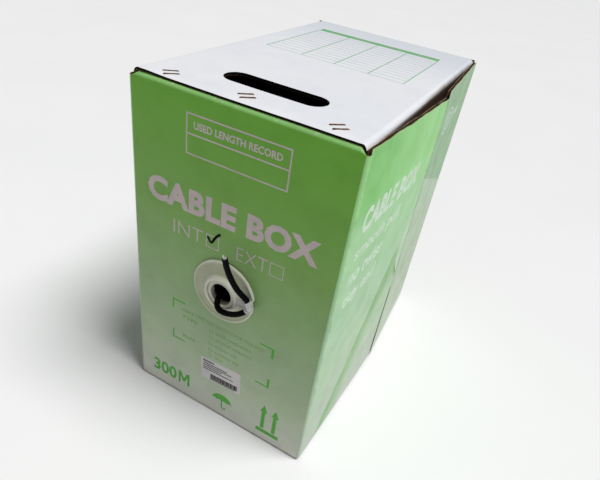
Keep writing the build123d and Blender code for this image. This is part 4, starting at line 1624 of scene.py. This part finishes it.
def label_place(u, v, d):
    """The label's own coordinates from its centre, on the panel; one corner curls up."""
    x = LABEL_X + u * math.cos(LABEL_TILT) - v * math.sin(LABEL_TILT)
    z = LABEL_Z + u * math.sin(LABEL_TILT) + v * math.cos(LABEL_TILT)
    curl = 0.22 * np.clip((u + v - 33.0) / 8.0, 0, 1) ** 2
    curl = curl + 0.10 * np.clip((-u - v - 36.0) / 6.0, 0, 1) ** 2
    return np.stack([x, FRONT_FACE + d - curl, z], 1)


def label_sheet():
    r = 1.0
    across, rise = LABEL_W / 2 - r, LABEL_H / 2 - r
    outline = []
    for cx, cy, first in ((across, rise, 0), (-across, rise, 90), (-across, -rise, 180),
                          (across, -rise, 270)):
        for k in range(4):
            a = math.radians(first + 30 * k)
            outline.append((cx + r * math.cos(a), cy + r * math.sin(a)))
    drawing = Drawing().poly(outline)
    cuts_u = np.arange(-24, 25, 2.0)
    cuts_v = np.arange(-15, 16, 1.5)
    obj = lay_film(drawing.bm, cuts_u, cuts_v, label_place, lambda u, v: 0 * u, LABEL_THICK, -0.01,
                   "label_sheet", LABEL_PAPER)
    settle(obj, "carton", "label_paper", "product_label")
    rng = random.Random(5)
    lines = Drawing()

    def dashes(u, v, end, height):
        """A row of short dashes that stand for words."""
        while u < end - 0.8:
            size = rng.choice((1.1, 1.6, 2.3, 3.1))
            lines.rect(u, v, min(u + size, end), v + height)
            u += size + 0.35

    for row in ((-22.5, 10.6, -8.0, 2.0), (-22.5, 7.4, 8.0, 1.5), (-22.5, 4.6, 14.0, 1.5),
                (-22.5, 1.8, 1.0, 1.4), (-22.5, -1.0, 16.0, 1.4), (-14.0, -14.2, 18.0, 1.3)):
        dashes(*row)
    # bars of uneven width
    u = -13.0
    while u < 20.5:
        size = rng.choice((0.9, 1.3, 1.8, 2.4))
        lines.rect(u, -12.4, u + size, -5.2)
        u += size + rng.choice((0.25, 0.3, 0.4))
    obj = lay_film(lines.bm, cuts_u, cuts_v, label_place, lambda u, v: 0 * u - LABEL_THICK, 0.03, 0.01,
                   "label_print", INK_BLACK)
    settle(obj, "carton", "label_paper")


label_sheet()

# ---------------------------------------------------------------- coil

COIL_Z = 167.0
COIL_OUT = 164.0
COIL_CORE = 96.0
COIL_HALF = 97.0
# the coil's section is rounded within this much of its outside and of its bore
ROUND_OUT, ROUND_IN = 12.0, 5.0
LAYER_STEP = 5.25
OUTER_STRANDS, INNER_STRANDS, HIDDEN_STRANDS = 34, 18, 9
# the payout tunnel, how far from its axis a strand passes, and over what run it bends
TUNNEL_R = 23.0
TURN_CLEAR = 25.0
TURN_REACH = 48.0


def coil_core():
    """The dark mass inside the outermost turns, with the payout tunnel."""
    wide, low, high = COIL_HALF - 6, COIL_CORE + 5, COIL_OUT - 7
    section = rounded([(-wide, low), (wide, low), (wide, high), (-wide, high)], 9.0, 5)
    segments = 96
    points = []
    for k in range(segments):
        a = 2 * math.pi * k / segments
        for x, r in section:
            points.append((x, r * math.cos(a), COIL_Z + r * math.sin(a)))
    faces = torus_faces(segments, len(section)).tolist()
    obj = mesh_object("coil_mass", points, faces, (COIL_JACKET,), tidy=True)
    hole = [(TUNNEL_R * math.cos(a), TUNNEL_R * math.sin(a)) for a in round_angles(48)]
    shade(carve(obj, prism_piece("tunnel", hole, -2.0, -HALF_D)))
    return settle(obj, "carton", "wound_cable", "cable_coil")


def coil_turns():
    """Strands that cross from side to side as they go round, layer over layer."""
    points, faces = [], []
    sides, steps = 6, 132
    ring_angles = round_angles(sides)
    layers = np.arange(COIL_CORE + CABLE_R, COIL_OUT - CABLE_R + 0.1, LAYER_STEP)
    for number, radius in enumerate(layers):
        outermost = number == len(layers) - 1
        innermost = number == 0
        strands = OUTER_STRANDS if outermost else INNER_STRANDS if innermost else HIDDEN_STRANDS
        edge = max(0.0, radius - (COIL_OUT - ROUND_OUT), (COIL_CORE + ROUND_IN) - radius)
        half = COIL_HALF - CABLE_R - 0.3 - 0.07 * edge**2
        for strand in range(strands):
            shift = 2 * math.pi * strand / strands + 0.37 * number
            t = round_angles(steps)
            swing = np.sin(t + shift) if strand % 2 else np.sin(-t + shift)
            x = half * np.clip(swing * 1.12, -1, 1) * (1 - 0.012 * (strand % 3))
            wobble = 0.5 * np.sin(3 * t + strand)
            r = radius + wobble - (1.4 if strand % 2 else 0.0)
            centre = np.stack([x, -r * np.cos(t), COIL_Z + r * np.sin(t)], 1)
            # a strand that would cross the payout tunnel bends round it on its own side
            off = np.stack([centre[:, 0], centre[:, 2] - PAYOUT_Z], 1)
            ahead = centre[:, 1] < -0.5 * COIL_CORE
            nearest = np.argmin(np.where(ahead, np.linalg.norm(off, axis=1), np.inf))
            heading = off[(nearest + 1) % steps] - off[nearest - 1]
            heading /= np.linalg.norm(heading)
            aside = np.array([-heading[1], heading[0]])
            offset = off @ aside
            way = 1.0 if offset[nearest] >= 0 else -1.0
            along = np.clip((off @ heading) / TURN_REACH, -1, 1)
            need = TURN_CLEAR / 2 * (1.0 + np.cos(math.pi * along))
            push = np.where(ahead & (np.abs(offset) < need), way * need - offset, 0.0)
            centre[:, 0] += push * aside[0]
            centre[:, 2] += push * aside[1]
            tangent = np.roll(centre, -1, 0) - np.roll(centre, 1, 0)
            tangent /= np.linalg.norm(tangent, axis=1)[:, None]
            radial = np.stack([0 * t, -np.cos(t), np.sin(t)], 1)
            radial -= (radial * tangent).sum(1)[:, None] * tangent
            radial /= np.linalg.norm(radial, axis=1)[:, None]
            cross = np.cross(tangent, radial)
            block = np.stack([centre + CABLE_R * (math.cos(a) * radial + math.sin(a) * cross)
                              for a in ring_angles], 1)
            points.append(block.reshape(-1, 3))
            faces.append(torus_faces(steps, sides) + len(faces) * steps * sides)
    every = np.concatenate(points)
    obj = mesh_object("coil_turns", every, np.concatenate(faces).tolist(), (COIL_JACKET,), angle=80.0,
                      tidy=True)
    return settle(obj, "carton", "wound_cable")


coil_core()
coil_turns()

# ---------------------------------------------------------------- floor and light

KEY_FROM = (0.34, 0.03, 0.80)
KEY_ENERGY = 3.0
KEY_ANGLE = math.radians(28.0)
FILL_AT, FILL_AIM = (-1.3, -1.7, 0.9), (0.0, -0.1, 0.18)
FILL_SIZE, FILL_POWER = 0.8, 0.6
WORLD_STRENGTH = 0.16

paint = Paint("floor_pale", Roughness=0.6, Specular_IOR_Level=0.3)
cloud = paint.fade(paint.noise(3.0, 2.0), 0.3, 0.7)
paint.colour(paint.mix(cloud, rgba(0.865, 0.865, 0.865), rgba(0.85, 0.85, 0.855)))
floor_mesh = bpy.data.meshes.new("floor")
floor_mesh.from_pydata([(-8, -8, 0), (8, -8, 0), (8, 8, 0), (-8, 8, 0)], [], [(0, 1, 2, 3)])
floor_mesh.materials.append(paint.material)
floor = link(bpy.data.objects.new("floor", floor_mesh))
floor.location.z = -0.0005


def aimed(obj, way):
    """Turns a lamp so that it shines from way."""
    obj.rotation_euler = Vector(way).to_track_quat("Z", "Y").to_euler()
    return obj


sun_data = bpy.data.lights.new("key", "SUN")
sun_data.energy = KEY_ENERGY
sun_data.angle = KEY_ANGLE
aimed(link(bpy.data.objects.new("key", sun_data)), KEY_FROM)
fill_data = bpy.data.lights.new("fill", "AREA")
fill_data.shape = "DISK"
fill_data.size = FILL_SIZE
fill_data.energy = FILL_POWER
fill = aimed(link(bpy.data.objects.new("fill", fill_data)), Vector(FILL_AT) - Vector(FILL_AIM))
fill.location = FILL_AT
world = bpy.data.worlds.new("world")
world.use_nodes = True
background = world.node_tree.nodes["Background"]
background.inputs["Color"].default_value = rgba(1.0, 1.0, 1.0)
background.inputs["Strength"].default_value = WORLD_STRENGTH
bpy.context.scene.world = world
